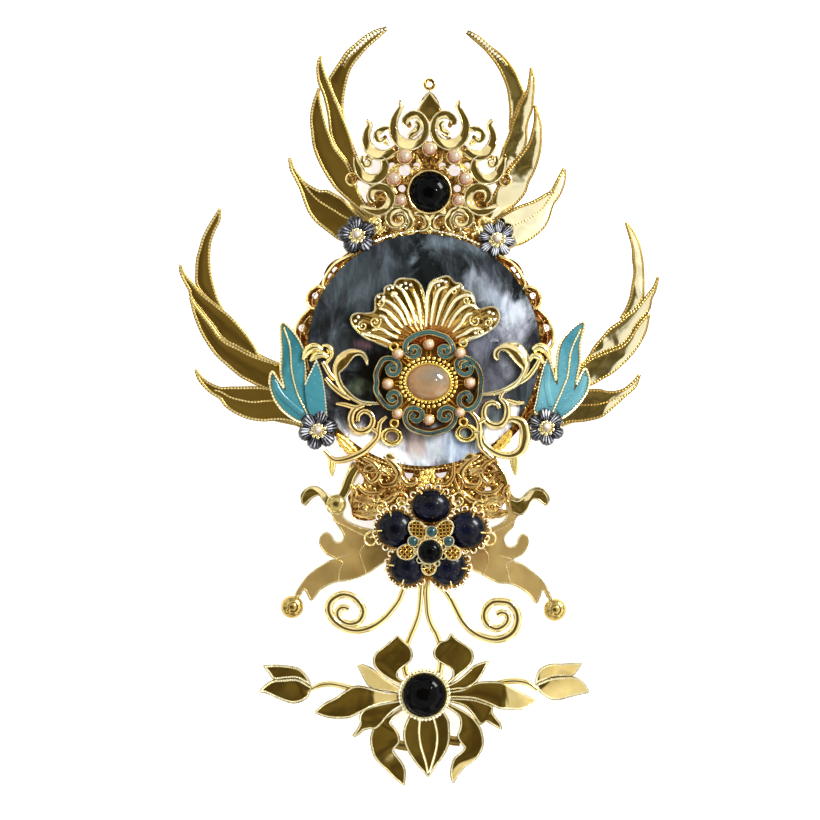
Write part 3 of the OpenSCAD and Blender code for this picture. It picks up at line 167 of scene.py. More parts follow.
class Piece:
    """Collects surfaces in millimetres, each with its finish, and makes one object of them."""

    def __init__(self, name, finishes, slot="gilt_metal", stands_for=()):
        self.name, self.finishes, self.slot, self.stands_for = name, finishes, slot, stands_for
        self.points, self.faces, self.tones, self.count = [], [], [], 0

    def add(self, points, faces, finish=0, tone=0.0):
        """Adds points and faces, which name points by their place in the table."""
        self.points.append(points.reshape(-1, 3))
        self.tones.append(np.broadcast_to(np.asarray(tone, float).reshape(-1), len(self.points[-1])))
        self.faces.append((faces + self.count, finish))
        self.count += len(self.points[-1])

    def grid(self, p, finish=0, ends=True, tone=0.0):
        """Joins each ring p[i] to the next by four-sided faces; ends closes the first and last ring by a
        fan round its middle."""
        n, m = p.shape[:2]
        i, j = np.arange(n - 1)[:, None] * m, np.arange(m)[None]
        k = (j + 1) % m
        first = self.count
        self.add(p, np.stack([i + j, i + k, i + m + k, i + m + j], -1).reshape(-1, 4), finish, tone)
        if ends:
            for r in (0, n - 1):
                ids = first + r * m + np.arange(m)
                middle = np.full(m, self.count)
                self.add(p[r].mean(0), np.stack([ids, np.roll(ids, -1), middle], -1) - self.count, finish)

    def sweep(self, rows, profile, z, height, finish=0, step=0.5, loop=False, taper=0.0, rise=0.0, lean=0.0):
        """Carries the profile along the curve through rows [x, y, width]: a point is the curve's point,
        plus across times width to its left, and up times height over z. With taper the height goes with
        the width to that power; rise lifts the curve, and the top leans across by lean times the width."""
        s = smooth(rows, step, loop)
        if loop:
            s = s[:-1]
            side = left_of_path(np.vstack([s[-1:], s, s[:1]])[:, :2])[1:-1]
        else:
            side = left_of_path(s[:, :2])
        h = height * (s[:, 2] / s[:, 2].max()) ** taper
        lifts = np.atleast_1d(rise)
        base = z + np.interp(np.linspace(0, 1, len(s)), np.linspace(0, 1, len(lifts)), lifts)
        p = np.empty((len(s), len(profile), 3))
        p[..., :2] = s[:, None, :2] + side[:, None] * (profile[:, 0] * s[:, 2:3])[..., None]
        p[..., 2] = base[:, None] + profile[:, 1] * h[:, None]
        p[..., 2] += profile[:, 0] * (softly(lean, len(s)) * s[:, 2])[:, None]
        if loop:
            p = np.concatenate([p, p[:1]])
        self.grid(p, finish, ends=not loop)

    def hoop(self, centre, radii, width, z, height, finish=0, step=0.5, count=16, profile=WIRE):
        """A wire bent to a circle or an ellipse."""
        self.sweep(plus(ring(centre, radii, count), width), profile, z, height, finish, step, True)

    def rope(self, xy, z, r, pitch=0.66, finish=0):
        """A row of flattened beads along a curve, as one tube whose radius is r times 0.1 to 1 as the
        squared sine of the length swings, once for each pitch."""
        s = smooth(xy, pitch / 4) if len(xy) < 60 else evenly(np.asarray(xy, float), step=pitch / 4)
        beat = softly(r, len(s)) * (0.1 + 0.9 * np.sin(np.arange(len(s)) * np.pi / 4) ** 2)
        side = left_of_path(s[:, :2])
        a = np.arange(6) * TAU / 6
        p = np.empty((len(s), 6, 3))
        p[..., :2] = s[:, None, :2] + side[:, None] * (np.cos(a) * beat[:, None])[..., None]
        p[..., 2] = (s[:, 2:3] if s.shape[1] > 2 else z) + np.sin(a) * np.minimum(beat, 0.4)[:, None] * 0.6
        self.grid(p, finish)

    def acanthus(self, rows, z, rise, lobes=4, finish=0):
        """A curled leaf along rows [x, y, half width]: its edge swells in lobes, its top is a dome with a
        groove along its middle, and slanting ribs run from the middle to the lobes. Its back is flat."""
        s = smooth(rows, 0.28)
        m = 13
        u, v = np.linspace(0, 1, len(s))[:, None], np.linspace(-1, 1, m)[None]
        half = s[:, 2:3] * (0.7 + 0.3 * np.abs(np.sin(np.pi * lobes * u)) ** 0.7)
        ribs = np.abs(np.sin(np.pi * (lobes * u - 0.6 * np.abs(v))))
        dome = 0.3 + 0.7 * (1 - v ** 2) ** 0.7
        top = rise * (dome * (0.87 + 0.13 * ribs) - 0.3 * np.exp(-(v / 0.13) ** 2))
        p = np.empty((len(s), 2 * m, 3))
        p[:, :m, :2] = s[:, None, :2] + left_of_path(s[:, :2])[:, None] * (v * half)[..., None]
        p[:, :m, 2] = z + top
        p[:, m:, :2] = p[:, m - 1::-1, :2]
        p[:, m:, 2] = z - 0.35
        self.grid(p, finish)

    def feather(self, a, b, z, thick, arch=0.25, tilt=0.0, bow=0.0, finish=0, lip=0.32, lip_finish=1,
                beads=0.0, lip_up=0.3, step=0.8, shade_margin=None):
        """A blade between two edge curves, from tip to root. Across, its top is an arch of four v (1 - v); it
        leans by tilt times the width, and is raised by bow; both are values at even steps from tip to root,
        joined softly. A lip and a row of beads run along its edges, within a darker strip of painted shade
        along each edge, in a finish of its own."""
        a, b = smooth(a, 0.3), smooth(b, 0.3)
        n, m = max(int(max(len(a), len(b)) * 0.3 / step), 14), 11
        a, b = evenly(a, count=n), evenly(b, count=n)
        across = b - a
        w = np.linalg.norm(across, axis=1)
        u = np.linspace(0, 1, n)
        lean = softly(tilt, n) * w * (1 - u ** 6)
        foot = softly(bow, n) + z
        v = (1 - np.cos(np.linspace(0, np.pi, m))) / 2
        arched = arch * np.minimum(w / 6, 1)[:, None] * 4 * v * (1 - v)
        p = np.empty((n, 2 * m, 3))
        p[:, :m, :2] = a[:, None] + across[:, None] * v[:, None]
        p[:, :m, 2] = foot[:, None] + thick + arched + lean[:, None] * (v - 0.5)
        p[:, m:, :2] = p[:, m - 1::-1, :2]
        p[:, m:, 2] = foot[:, None] + lean[:, None] * (v[::-1] - 0.5)
        self.grid(p, finish)
        inward = across / np.maximum(w, 1e-6)[:, None]
        gap = 0 if shade_margin is None else 0.1
        dark = 0.24 if lip else 0.8

        def inset(edge, way, by, share, height):
            """The edge's points moved inward by a distance, or by a share of the width where that is
            less."""
            return np.column_stack([edge + way * inward * np.minimum(by, share * w)[:, None], height])

        for k, edge, way in ((0, a, 1), (1, b, -1)):
            top = foot + thick + lean * (k - 0.5)
            # A darker strip along the edge, a little below its top: painted shade
            if shade_margin is not None:
                self.strip(inset(edge, way, dark * 0.36, 0.4, top - 0.1), dark, 0.3, shade_margin)
            if lip:
                self.strip(inset(edge, way, gap + lip / 2, 0.3, top), lip, lip_up, lip_finish)
            if beads:
                line = inset(edge, way, gap + lip + 0.8 * beads, 0.42, top + beads * 0.3)
                self.rope(evenly(line, step=0.2), 0, beads, beads * 2.6, lip_finish)

    def strip(self, xyz, width, height, finish=0):
        """Carries a thin round profile along points [x, y, z], sunk by a quarter of its height."""
        side = left_of_path(xyz[:, :2])
        p = np.empty((len(xyz), len(THIN), 3))
        p[..., :2] = xyz[:, None, :2] + side[:, None] * (THIN[:, 0] * width)[None, :, None]
        p[..., 2] = xyz[:, 2:3] + (THIN[:, 1] - 0.25) * height
        self.grid(p, finish)

    def slab(self, outline, z, thick, finish=0):
        """A flat sheet: the outline's wall between its back and its face, which are one face each."""
        n = len(outline)
        i = np.arange(n)
        k = (i + 1) % n
        walls = np.stack([i, k, k + n, i + n], -1)
        self.add(np.vstack([plus(outline, z), plus(outline, z + thick)]), walls, finish)
        self.faces.append((np.stack([i[::-1] + self.count - 2 * n, i + self.count - n]), finish))

    def grains(self, places, finish=0):
        """A low bead of twenty faces at each place [x, y, z, r]."""
        q = np.asarray(places, float)
        points = q[:, None, :3] + GRAIN * q[:, None, 3:4] * np.array([1, 1, 0.62])
        faces = GRAIN_FACES[None] + (np.arange(len(q)) * len(GRAIN))[:, None, None]
        self.add(points, faces.reshape(-1, 3), finish)

    def turned(self, centre, radii, rows, finish=0, count=64, wobble=0.0):
        """A form turned round an upright line: rows [share of the radius, z] from the top down, each a
        circle or an ellipse; wobble swells it a little, once and three times a turn."""
        rx, ry = np.broadcast_to(radii, 2)
        a = np.arange(count) * TAU / count
        q = np.array(rows, float)
        share = q[:, :1] * (1 + wobble * (np.cos(a + 1.1) + 0.5 * np.cos(3 * a)))
        p = np.stack([centre[0] + rx * share * np.cos(a), centre[1] + ry * share * np.sin(a),
                      np.broadcast_to(q[:, 1:], share.shape)], -1)
        self.grid(p, finish)

    def made(self):
        """Puts the surfaces in one mesh, joins what meets, turns the faces outwards and hands the piece
        to the frame."""
        co = np.vstack(self.points) * MM
        mesh = bpy.data.meshes.new(self.name)
        groups = [(f, k) for f, k in self.faces if len(f)]
        sizes = np.concatenate([np.full(len(f), f.shape[1]) for f, _ in groups])
        corners = np.concatenate([f.ravel() for f, _ in groups])
        finishes = np.concatenate([np.full(len(f), k) for f, k in groups])
        mesh.vertices.add(len(co))
        mesh.vertices.foreach_set("co", co.astype(np.float32).ravel())
        mesh.loops.add(int(sizes.sum()))
        mesh.loops.foreach_set("vertex_index", corners.astype(np.int32))
        mesh.polygons.add(len(sizes))
        mesh.polygons.foreach_set("loop_start", (np.cumsum(sizes) - sizes).astype(np.int32))
        mesh.polygons.foreach_set("material_index", finishes.astype(np.int32))
        mesh.update(calc_edges=True)
        # Painted shade and sheen per point, used by the carved shell flowers
        tone = mesh.attributes.new("tone", "FLOAT", "POINT")
        tone.data.foreach_set("value", np.concatenate(self.tones).astype(np.float32))
        for finish in self.finishes:
            mesh.materials.append(finish)
        bm = bmesh.new()
        bm.from_mesh(mesh)
        bmesh.ops.remove_doubles(bm, verts=bm.verts, dist=2e-6)
        bmesh.ops.dissolve_degenerate(bm, dist=1e-6, edges=bm.edges)
        bmesh.ops.recalc_face_normals(bm, faces=bm.faces)
        bm.to_mesh(mesh)
        bm.free()
        mesh.polygons.foreach_set("use_smooth", np.ones(len(mesh.polygons), bool))
        mesh.set_sharp_from_angle(angle=np.radians(42))
        mesh.update()
        thing = bpy.data.objects.new(self.name, mesh)
        bpy.context.scene.collection.objects.link(thing)
        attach(thing, "root")
        if self.stands_for:
            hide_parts(*self.stands_for)


# Finishes

DIM = 0.8


class Nodes:
    """A node tree of a material or of the world, and short ways to add to it."""

    def __init__(self, tree):
        self.tree = tree

    def node(self, kind, inputs=(), **settings):
        """A node with its settings and its inputs, which are values or other nodes' outputs."""
        n = self.tree.nodes.new("ShaderNode" + kind)
        for key, value in settings.items():
            setattr(n, key, value)
        for key, value in dict(inputs).items():
            if hasattr(value, "is_linked"):
                self.tree.links.new(value, n.inputs[key])
            else:
                n.inputs[key].default_value = value
        return n

    def noise_at(self, at, scale, detail=3.0, roughness=0.5, distortion=0.0):
        return self.node("TexNoise", {"Vector": at, "Scale": scale, "Detail": detail, "Roughness": roughness,
                                      "Distortion": distortion}).outputs[0]

    def span(self, value, low, high, to_low=0.0, to_high=1.0):
        """The value carried smoothly from low..high to another span."""
        return self.node("MapRange", {"Value": value, 1: low, 2: high, 3: to_low, 4: to_high},
                         interpolation_type="SMOOTHSTEP").outputs[0]

    def ramp(self, value, stops):
        n = self.node("ValToRGB", {"Fac": value})
        ramp = n.color_ramp
        while len(ramp.elements) < len(stops):
            ramp.elements.new(0.5)
        for element, (at, colour) in zip(ramp.elements, stops):
            element.position, element.color = at, (*colour, 1)
        return n.outputs[0]

    def blend(self, share, a, b, how="MIX"):
        a, b = ((*c, 1) if isinstance(c, tuple) else c for c in (a, b))
        return self.node("Mix", {0: share, 6: a, 7: b}, data_type="RGBA", blend_type=how).outputs[2]

    def mix(self, share, a, b):
        return self.node("Mix", {0: share, 2: a, 3: b}, data_type="FLOAT").outputs[0]

    def math(self, how, a, b=0.0):
        return self.node("Math", {0: a, 1: b}, operation=how).outputs[0]


class Finish(Nodes):
    """A principled surface and the nodes that feed it; every pattern is on Object coordinates, in metres."""

    def __init__(self, name, **values):
        self.material = bpy.data.materials.new(name)
        self.material.use_nodes = True
        super().__init__(self.material.node_tree)
        self.surface = self.tree.nodes["Principled BSDF"]
        self.place = self.node("TexCoord").outputs["Object"]
        for socket, value in values.items():
            self.surface.inputs[socket.replace("_", " ")].default_value = value

    def feed(self, socket, source):
        """Links a source to the surface; the colour of what isn't metal is dimmed to suit the bright
        room."""
        if socket == "Base Color" and self.surface.inputs["Metallic"].default_value < 0.5:
            source = self.blend(1.0, source, (DIM, DIM, DIM), "MULTIPLY")
        self.tree.links.new(source, self.surface.inputs[socket])

    def stretched(self, scale, turn=0.0):
        """The place, turned about Z and scaled per axis."""
        return self.node("Mapping", {"Vector": self.place, "Scale": scale,
                                     "Rotation": (0, 0, turn)}).outputs[0]

    def noise(self, scale, detail=3.0, at=None, roughness=0.55, distortion=0.0):
        return self.noise_at(at or self.place, scale, detail, roughness, distortion)

    def near(self, x, y, reach_x, reach_y, turn=0.0, jitter=0.0):
        """One at a point of the face, falling smoothly to nothing at the reach, all in millimetres."""
        at = self.node("Mapping", {
            "Vector": self.place, "Location": (x * MM, y * MM, 0), "Rotation": (0, 0, np.radians(turn)),
            "Scale": (reach_x * MM, reach_y * MM, 1e3)}, vector_type="TEXTURE").outputs[0]
        far = self.node("VectorMath", {0: at}, operation="LENGTH").outputs["Value"]
        return self.span(self.math("ADD", far, jitter), 0.0, 1.0, 1.0, 0.0)

    def bump(self, value, strength, distance):
        n = self.node("Bump", {"Height": value, "Strength": strength, "Distance": distance * MM})
        if self.surface.inputs["Normal"].is_linked:
            self.tree.links.new(self.surface.inputs["Normal"].links[0].from_socket, n.inputs["Normal"])
        self.feed("Normal", n.outputs[0])


def rgb(r, g, b):
    """A screen colour of 0 to 255 as linear light."""
    c = np.array([r, g, b]) / 255
    return tuple(float(x) for x in np.where(c <= 0.04045, c / 12.92, ((c + 0.055) / 1.055) ** 2.4))


def gold(name, light, dark, rough, spread=0.06, waves=0.0, wave_scale=120, hollow_shade=None):
    """Plated metal: its colour wanders between two golds, and its gloss is uneven. With hollow_shade (from,
    to, colour), a warmer, darker colour is painted where the surface lies low: painted shade in the hollows."""
    f = Finish(name, Metallic=1.0, Roughness=rough)
    colour = f.ramp(f.noise(170, 4), [(0.3, rgb(*dark)), (0.7, rgb(*light))])
    # Painted shade: below the given height the colour is mixed, unevenly, towards the warmer, darker gold
    if hollow_shade:
        low, high, tint = hollow_shade
        height = f.node("SeparateXYZ", {0: f.place}).outputs[2]
        share = f.span(height, low * MM, high * MM, 1.0, 0.0)
        mottled_shading = f.math("MULTIPLY", share, f.span(f.noise(700, 2), 0.25, 0.75, 0.55, 1.0))
        colour = f.blend(mottled_shading, colour, rgb(*tint))
    f.feed("Base Color", colour)
    f.feed("Roughness", f.span(f.noise(420, 3), 0.3, 0.75, max(rough - spread, 0.02), rough + spread))
    if waves:
        f.bump(f.noise(wave_scale, 2, distortion=0.6), waves, 1.0)
    f.bump(f.noise(2600, 2), 0.15, 0.02)
    return f


# The last of these, amber, is the colour of the painted shade in relief gold's hollows
PALE_GOLD, GOLD, DEEP_GOLD, SHADE_AMBER = (247, 233, 168), (237, 215, 142), (222, 188, 104), (206, 130, 54)
MIRROR = {"rough": 0.05, "spread": 0.02, "waves": 0.1, "wave_scale": 60}
RIPPLED = {"rough": 0.06, "spread": 0.02, "waves": 0.7, "wave_scale": 60}
LOTUS_MIRROR = {**MIRROR, "waves": 0.16}
HAMMERED = {"rough": 0.16, "waves": 0.5, "wave_scale": 450}

bright_gold = gold("bright_gold_plate", PALE_GOLD, GOLD, 0.13).material
bead_gold = gold("milgrain_gold", (253, 250, 224), (246, 238, 196), 0.28).material
mirror_gold = gold("mirror_gold_plate", (240, 221, 160), (234, 212, 145), **MIRROR).material
# A darker copy of the mirror gold for the wings and the scroll branch on the left: painted shade
shaded_mirror_gold = gold("shaded_mirror_gold", (236, 208, 140), (228, 198, 126), **MIRROR).material
lotus_gold = gold("lotus_mirror_gold", (228, 206, 138), (214, 186, 112), **LOTUS_MIRROR).material
ball_gold = gold("ball_gold", (196, 174, 106), (164, 138, 74), 0.16).material
# A paler copy of the mirror gold for the right wings: painted light
lit_rippled_gold = gold("lit_rippled_mirror_gold", (250, 241, 202), (240, 226, 174), **RIPPLED).material
relief_gold = gold("relief_gold", PALE_GOLD, GOLD, 0.16, hollow_shade=(4.9, 5.7, SHADE_AMBER)).material
setting_gold = gold("setting_gold", (240, 208, 112), (226, 186, 84), 0.24).material
wing_bead_gold = gold("wing_milgrain_gold", (232, 216, 156), (212, 192, 124), 0.3).material
shaded_bead_gold = gold("shaded_milgrain_gold", (206, 176, 100), (166, 134, 66), 0.26).material
# A darker gold for margins, outlines, bands and joints: painted shade
shade_strip_gold = gold("shade_strip_gold", (146, 120, 64), (116, 92, 44), 0.24).material
medal_gold = gold("medallion_gold", (164, 108, 48), (104, 62, 26), 0.24).material
ground_gold = gold("ground_gold", (200, 156, 80), (150, 104, 46), hollow_shade=(4.9, 5.7, (136, 66, 24)),
                   **HAMMERED).material
cast_gold = gold("cast_gold", (230, 201, 126), (150, 104, 48), 0.15,
                 hollow_shade=(4.9, 6.0, (150, 82, 34))).material
comb_gold = gold("comb_gold", GOLD, DEEP_GOLD, 0.3).material
silvery_gold = gold("silvery_gold", (226, 216, 168), (206, 192, 138), 0.3).material


def fan_plate():
    """The fan's ground: dark bronze, warming to orange brown towards the fan's foot."""
    f = gold("fan_ground_gold", (190, 156, 82), (128, 96, 42), 0.16, waves=0.2, wave_scale=300)
    colour = f.surface.inputs["Base Color"].links[0].from_socket
    f.feed("Base Color", f.blend(f.near(2.5, 15.5, 12, 8), colour, rgb(168, 88, 36)))
    return f.material


def satin():
    """Satin plate: a soft broad gloss whose colour drifts a little over the leaf and is darker brown beside
    the flower: painted shadow of the flower."""
    f = Finish("satin_gold", Metallic=1.0, Roughness=0.4)
    colour = f.ramp(f.noise(28, 3), [(0.32, rgb(188, 154, 86)), (0.68, rgb(228, 198, 132))])
    # Painted shadow beside the flower: dark brown on the left spray, orange brown on the right
    for x, y, tint in ((-11.5, -38, rgb(84, 60, 24)), (15, -37.5, rgb(150, 98, 44))):
        colour = f.blend(f.math("MULTIPLY", f.near(x, y, 5, 5.5), 0.5), colour, tint)
    f.feed("Base Color", colour)
    f.feed("Roughness", f.span(f.noise(160, 4), 0.3, 0.7, 0.3, 0.36))
    f.bump(f.noise(40, 2), 0.35, 1.0)
    return f.material


def polished(name, colour, gloss=0.5, rough=0.08, **values):
    """A polished stone, pearl or enamel; gloss is the strength of its mirror image."""
    return Finish(name, Base_Color=(*colour, 1), Roughness=rough, Specular_IOR_Level=gloss, **values)


# Patches of the shell disc: x, y, reach across and up, turn, colour, which pattern frays its edge, strength.
# Most are the shell's own colour; the white ones at its lower edges, the pale patch and streak at its right
# and the pale green gleam at its left are painted highlights.
DISC_PATCHES_AND_HIGHLIGHTS = [
    (-15, 31.5, 9, 8, 30, (112, 124, 130), "streak", 0.7),
    (-8, 35, 3, 8, 8, (104, 116, 124), "streak", 0.6), (1, 36, 5, 10, 0, (32, 38, 42), "cloud", 0.85),
    (8, 40.5, 11, 3, -8, (128, 142, 150), "streak", 0.7), (12, 34, 7, 5, 0, (48, 56, 62), "cloud", 0.7),
    (16, 29.5, 8, 5, -40, (150, 160, 168), "cloud", 0.8),
    (25.5, 29, 4, 6, -45, (34, 40, 48), "cloud", 0.8),
    # The pale patch at the start of this line is a painted highlight
    (24, 20, 6, 8, -15, (204, 212, 219), "cloud", 0.75), (17, 14, 8, 8, 0, (128, 132, 146), "cloud", 0.7),
    (28, 14, 2.5, 8, 0, (38, 42, 54), "cloud", 0.8), (16, 7, 9, 7, 0, (112, 113, 124), "cloud", 0.75),
    (21.5, 9, 3.5, 3, 0, (150, 154, 162), "streak", 0.6),
    # A pale streak: painted highlight
    (20.5, 25.5, 6, 2.2, -45, (190, 202, 212), "streak", 0.8),
    (-16, 17, 9, 5, 0, (64, 68, 68), "cloud", 0.6), (-13, 8, 8, 7.5, 0, (30, 26, 28), "cloud", 0.9),
    (-13.5, 5, 4, 1.6, -20, (96, 104, 78), "streak", 0.6), (-20, 3, 6, 6, 0, (70, 60, 62), "cloud", 0.85),
    (-8, -4, 7, 4, 0, (88, 84, 90), "cloud", 0.8), (14, -1, 8, 5, 0, (126, 122, 128), "cloud", 0.85),
    (4, -11, 13, 7, 0, (206, 210, 215), "streak", 1),
    (-9, -7.5, 4, 3, -30, (150, 122, 110), "streak", 0.6),
    (-1, -8.5, 3, 5, 0, (184, 158, 144), "streak", 0.7),
    (9, -11, 5, 5, 0, (168, 182, 206), "streak", 0.7),
    # The next four, white, are painted highlights at the lower edges
    (-15, -8.6, 9, 4.6, -42, (255, 253, 250), "streak", 1),
    (-9, -12.6, 6.5, 3, -22, (255, 253, 250), "streak", 1),
    (18.5, -6.5, 4.2, 3.6, 40, (255, 253, 250), "streak", 1),
    (23.3, -0.8, 2, 2.4, 0, (246, 244, 244), "streak", 1),
    (-21, 12.5, 4, 3.5, 0, (92, 88, 90), "cloud", 0.6),
    (-14, 15.5, 2.6, 1.7, 0, (140, 100, 110), "streak", 0.7),
    # A pale green gleam: painted highlight
    (-16, 4, 2.8, 1.3, -25, (132, 146, 118), "streak", 0.5),
]


def disc_shell():
    """Dark mother-of-pearl: slate with upright cloudy streaks, pale at the right, near black at the lower
    left, pearly at the foot, and white towards its lower edges, where the white is painted highlight. Thin
    creases run through it, drawn as painted shade and painted highlight, with pale wisps of painted highlight
    at its right."""
    f = polished("dark_mother_of_pearl", rgb(60, 66, 72), 0.3, 0.14)

    def drawn(scale, detail, across, turn, roughness=0.55, distortion=0.0):
        """Noise that is drawn out upwards, the more so the less across is."""
        return f.noise(scale, detail, f.stretched((1, across, 1), turn), roughness, distortion)

    streak, cloud = drawn(120, 7, 0.3, 0.12, 0.7, 0.6), drawn(95, 8, 0.75, 0.3, 0.7, 1.2)
    frays = {"cloud": f.span(cloud, 0.3, 0.7, -0.45, 0.45), "streak": f.span(streak, 0.32, 0.68, -0.35, 0.35)}
    slate = [(0.3, rgb(30, 35, 39)), (0.45, rgb(58, 65, 71)), (0.57, rgb(84, 92, 99)),
             (0.72, rgb(142, 152, 160))]
    colour = f.blend(0.5, f.ramp(streak, slate), f.ramp(cloud, slate))
    for x, y, rx, ry, turn, tint, fray, strength in DISC_PATCHES_AND_HIGHLIGHTS:
        share = f.math("MULTIPLY", f.near(x, y, rx * 1.2, ry * 1.2, turn, frays[fray]), strength * 1.6)
        colour = f.blend(f.math("MINIMUM", share, min(strength * 1.05, 1.0)), colour, rgb(*tint))
    for share, pattern, low, dark, high, light in (
        (0.14, drawn(900, 4, 0.1, 0.06, 0.7), 0.3, 0.26, 0.7, 0.74),
        (0.42, drawn(230, 4, 0.35, 0.12, 0.6, 0.9), 0.4, 0.16, 0.6, 0.86),
    ):
        greys = f.ramp(pattern, [(low, (dark,) * 3), (high, (light,) * 3)])
        colour = f.blend(share, colour, greys, "OVERLAY")
    # Crease lines near the right: a dark one, painted shade, and a pale one, painted highlight
    for scale, tint, share in ((75, rgb(18, 20, 28), 0.7), (90, rgb(226, 232, 240), 0.3)):
        fold = f.math("ABSOLUTE", f.math("SUBTRACT", drawn(scale, 2, 0.6, 0.7, distortion=1.1), 0.5))
        painted_crease = f.math("MULTIPLY", f.span(fold, 0.001, 0.008, share, 0.0), f.near(18.5, 17, 8, 9, 0))
        colour = f.blend(painted_crease, colour, tint)
    # Pale wisps at the right: painted highlights
    wisp_highlights = f.span(drawn(170, 9, 0.5, 0.5, 0.75, 1.8), 0.5, 0.68, 0.0, 0.55)
    colour = f.blend(f.math("MULTIPLY", wisp_highlights, f.near(19, 18, 16, 24, -20)), colour, rgb(196, 204, 214))
    colour = f.node("Gamma", {"Color": colour, "Gamma": 1.5}).outputs[0]
    colour = f.node("HueSaturation", {"Color": colour, "Saturation": 0.75}).outputs[0]
    tints = [(0.35, rgb(196, 156, 190)), (0.5, rgb(188, 188, 188)), (0.65, rgb(146, 194, 178))]
    lustre = f.ramp(drawn(130, 3, 0.4, 0.3, distortion=1.5), tints)
    f.feed("Base Color", f.blend(0.15, colour, lustre, "OVERLAY"))
    f.bump(streak, 0.05, 0.3)
    return f.material


def flower_shell():
    """Carved grey shell: near black in its grooves and silver on its ridges, by the painted shade and sheen
    carried on the mesh, mottled a little."""
    f = polished("carved_grey_shell", rgb(110, 108, 120), 0.4, 0.16)
    tone = f.node("Attribute", attribute_name="tone").outputs["Fac"]
    mottled_shading = f.math("ADD", tone, f.span(f.noise(420, 3), 0.2, 0.8, -0.45, 0.35))
    greys = [(0.22, rgb(6, 6, 8)), (0.46, rgb(50, 50, 57)), (0.72, rgb(124, 126, 136)),
             (0.96, rgb(222, 224, 230))]
    f.feed("Base Color", f.ramp(mottled_shading, greys))
    return f.material


def pearl(name, body, lit_colour):
    """A pearl with painted light and shade: its body colour at its lower left is painted shade and gold
    reflection, and gives way to a paler colour of painted light towards the lamps at its upper right and on
    its underside, with a faint bloom."""
    f = polished(name, body, 0.8, 0.1, Coat_Weight=0.8, Coat_Roughness=0.05, Coat_IOR=1.9)
    # The colour follows how far the surface turns towards the lamps: painted light and shade
    normal = f.node("NewGeometry").outputs["Normal"]
    facing_light = f.node("VectorMath", {0: normal, 1: (0.35, 0.3, 0.88)}, operation="DOT_PRODUCT").outputs["Value"]
    share = f.math("ADD", f.span(facing_light, 0.35, 0.98), f.span(f.noise(900, 2), 0.3, 0.7, -0.1, 0.1))
    colour = f.ramp(share, [(0.05, body), (0.5, tuple((np.array(body) + lit_colour) / 2)), (0.9, lit_colour)])
    f.feed("Base Color", f.blend(f.span(facing_light, -0.3, 0.05, 0.75, 0.0), colour, lit_colour))
    return f.material


def goldstone_glass():
    """Blue goldstone: near-black blue glass full of fine copper and blue sparks."""
    f = polished("dark_blue_goldstone", rgb(6, 7, 16), 0.12, 0.22, Coat_Weight=0.1, Coat_Roughness=0.05)
    cells = f.node("TexVoronoi", {"Vector": f.place, "Scale": 3400.0}, feature="F1")
    spark = f.span(cells.outputs["Distance"], 0.1, 0.22, 1.0, 0.0)
    few = f.node("SeparateColor", {0: cells.outputs["Color"]})
    spark = f.math("MULTIPLY", spark, f.span(few.outputs[0], 0.66, 0.9, 0.0, 0.8))
    tint = f.ramp(few.outputs[1], [(0.3, rgb(70, 84, 160)), (0.7, rgb(190, 160, 150))])
    body = f.ramp(f.noise(180, 2), [(0.4, rgb(1, 2, 6)), (0.7, rgb(8, 12, 34))])
    f.feed("Base Color", f.blend(spark, body, tint))
    return f.material


def clouded(name, colour, gloss, rough, scale, detail, stops):
    """A polished stone whose colour wanders between two."""
    f = polished(name, colour, gloss, rough)
    f.feed("Base Color", f.ramp(f.noise(scale, detail), stops))
    return f.material


def peach_chalcedony():
    """Chalcedony: peach at its left and foot, clearing to a warm grey at its upper right, with a paler spot
    at its lower right that is painted glow of light in the stone."""
    f = polished("peach_chalcedony", rgb(222, 178, 140), 0.4, 0.08)
    cloud = f.span(f.noise(160, 3), 0.3, 0.7, -0.2, 0.2)
    clear = f.near(4.6, 8.0, 7.0, 5.4, 15, cloud)
    colour = f.ramp(clear, [(0.0, rgb(158, 118, 76)), (0.45, rgb(134, 112, 84)), (1.0, rgb(104, 98, 88))])
    # The paler spot: painted glow
    f.feed("Base Color", f.blend(f.near(5.6, 3.4, 2.6, 1.3, 20, cloud), colour, rgb(168, 146, 112)))
    return f.material


def enamel(name, deep, light, sparkle):
    """Glossy teal enamel, uneven in depth, with pearly flecks."""
    f = polished(name, light, 0.4, 0.14)
    depth = f.noise(75, 4, distortion=0.8)
    fleck = f.span(f.noise(2400, 1), 0.62, 0.8, 0.0, 0.5)
    f.feed("Base Color", f.blend(fleck, f.ramp(depth, [(0.3, deep), (0.7, light)]), sparkle))
    f.bump(f.noise(300, 2), 0.12, 0.1)
    return f.material


fan_gold = fan_plate()
satin_gold = satin()
shell = disc_shell()
grey_shell = flower_shell()
# Each pearl's first colour is painted shade, its second painted light
pink_pearl = pearl("peach_pearl", rgb(158, 92, 42), rgb(166, 144, 112))
cream_pearl = pearl("cream_pearl", rgb(158, 98, 46), rgb(190, 166, 126))
white_pearl = pearl("white_pearl", rgb(134, 112, 84), rgb(192, 178, 158))
goldstone = goldstone_glass()
agate = clouded("black_agate", rgb(3, 3, 3), 0.07, 0.04, 140, 3, [(0.4, rgb(2, 2, 2)), (0.75, rgb(9, 8, 8))])
chalcedony = peach_chalcedony()
leaf_teal = enamel("teal_leaf_enamel", rgb(32, 92, 102), rgb(66, 132, 142), rgb(130, 184, 188))
pale_teal = enamel("pale_teal_leaf_enamel", rgb(46, 110, 126), rgb(102, 160, 170), rgb(180, 212, 214))
cloud_teal = enamel("cloud_enamel_teal", rgb(28, 70, 76), rgb(52, 98, 102), rgb(100, 142, 138))
bead_teal = clouded("teal_glass", rgb(26, 104, 108), 0.5, 0.08, 600, 3,
                    [(0.3, rgb(3, 36, 40)), (0.7, rgb(20, 76, 76))])


# Feathers: each wing's rows [edge, edge], from tip to root

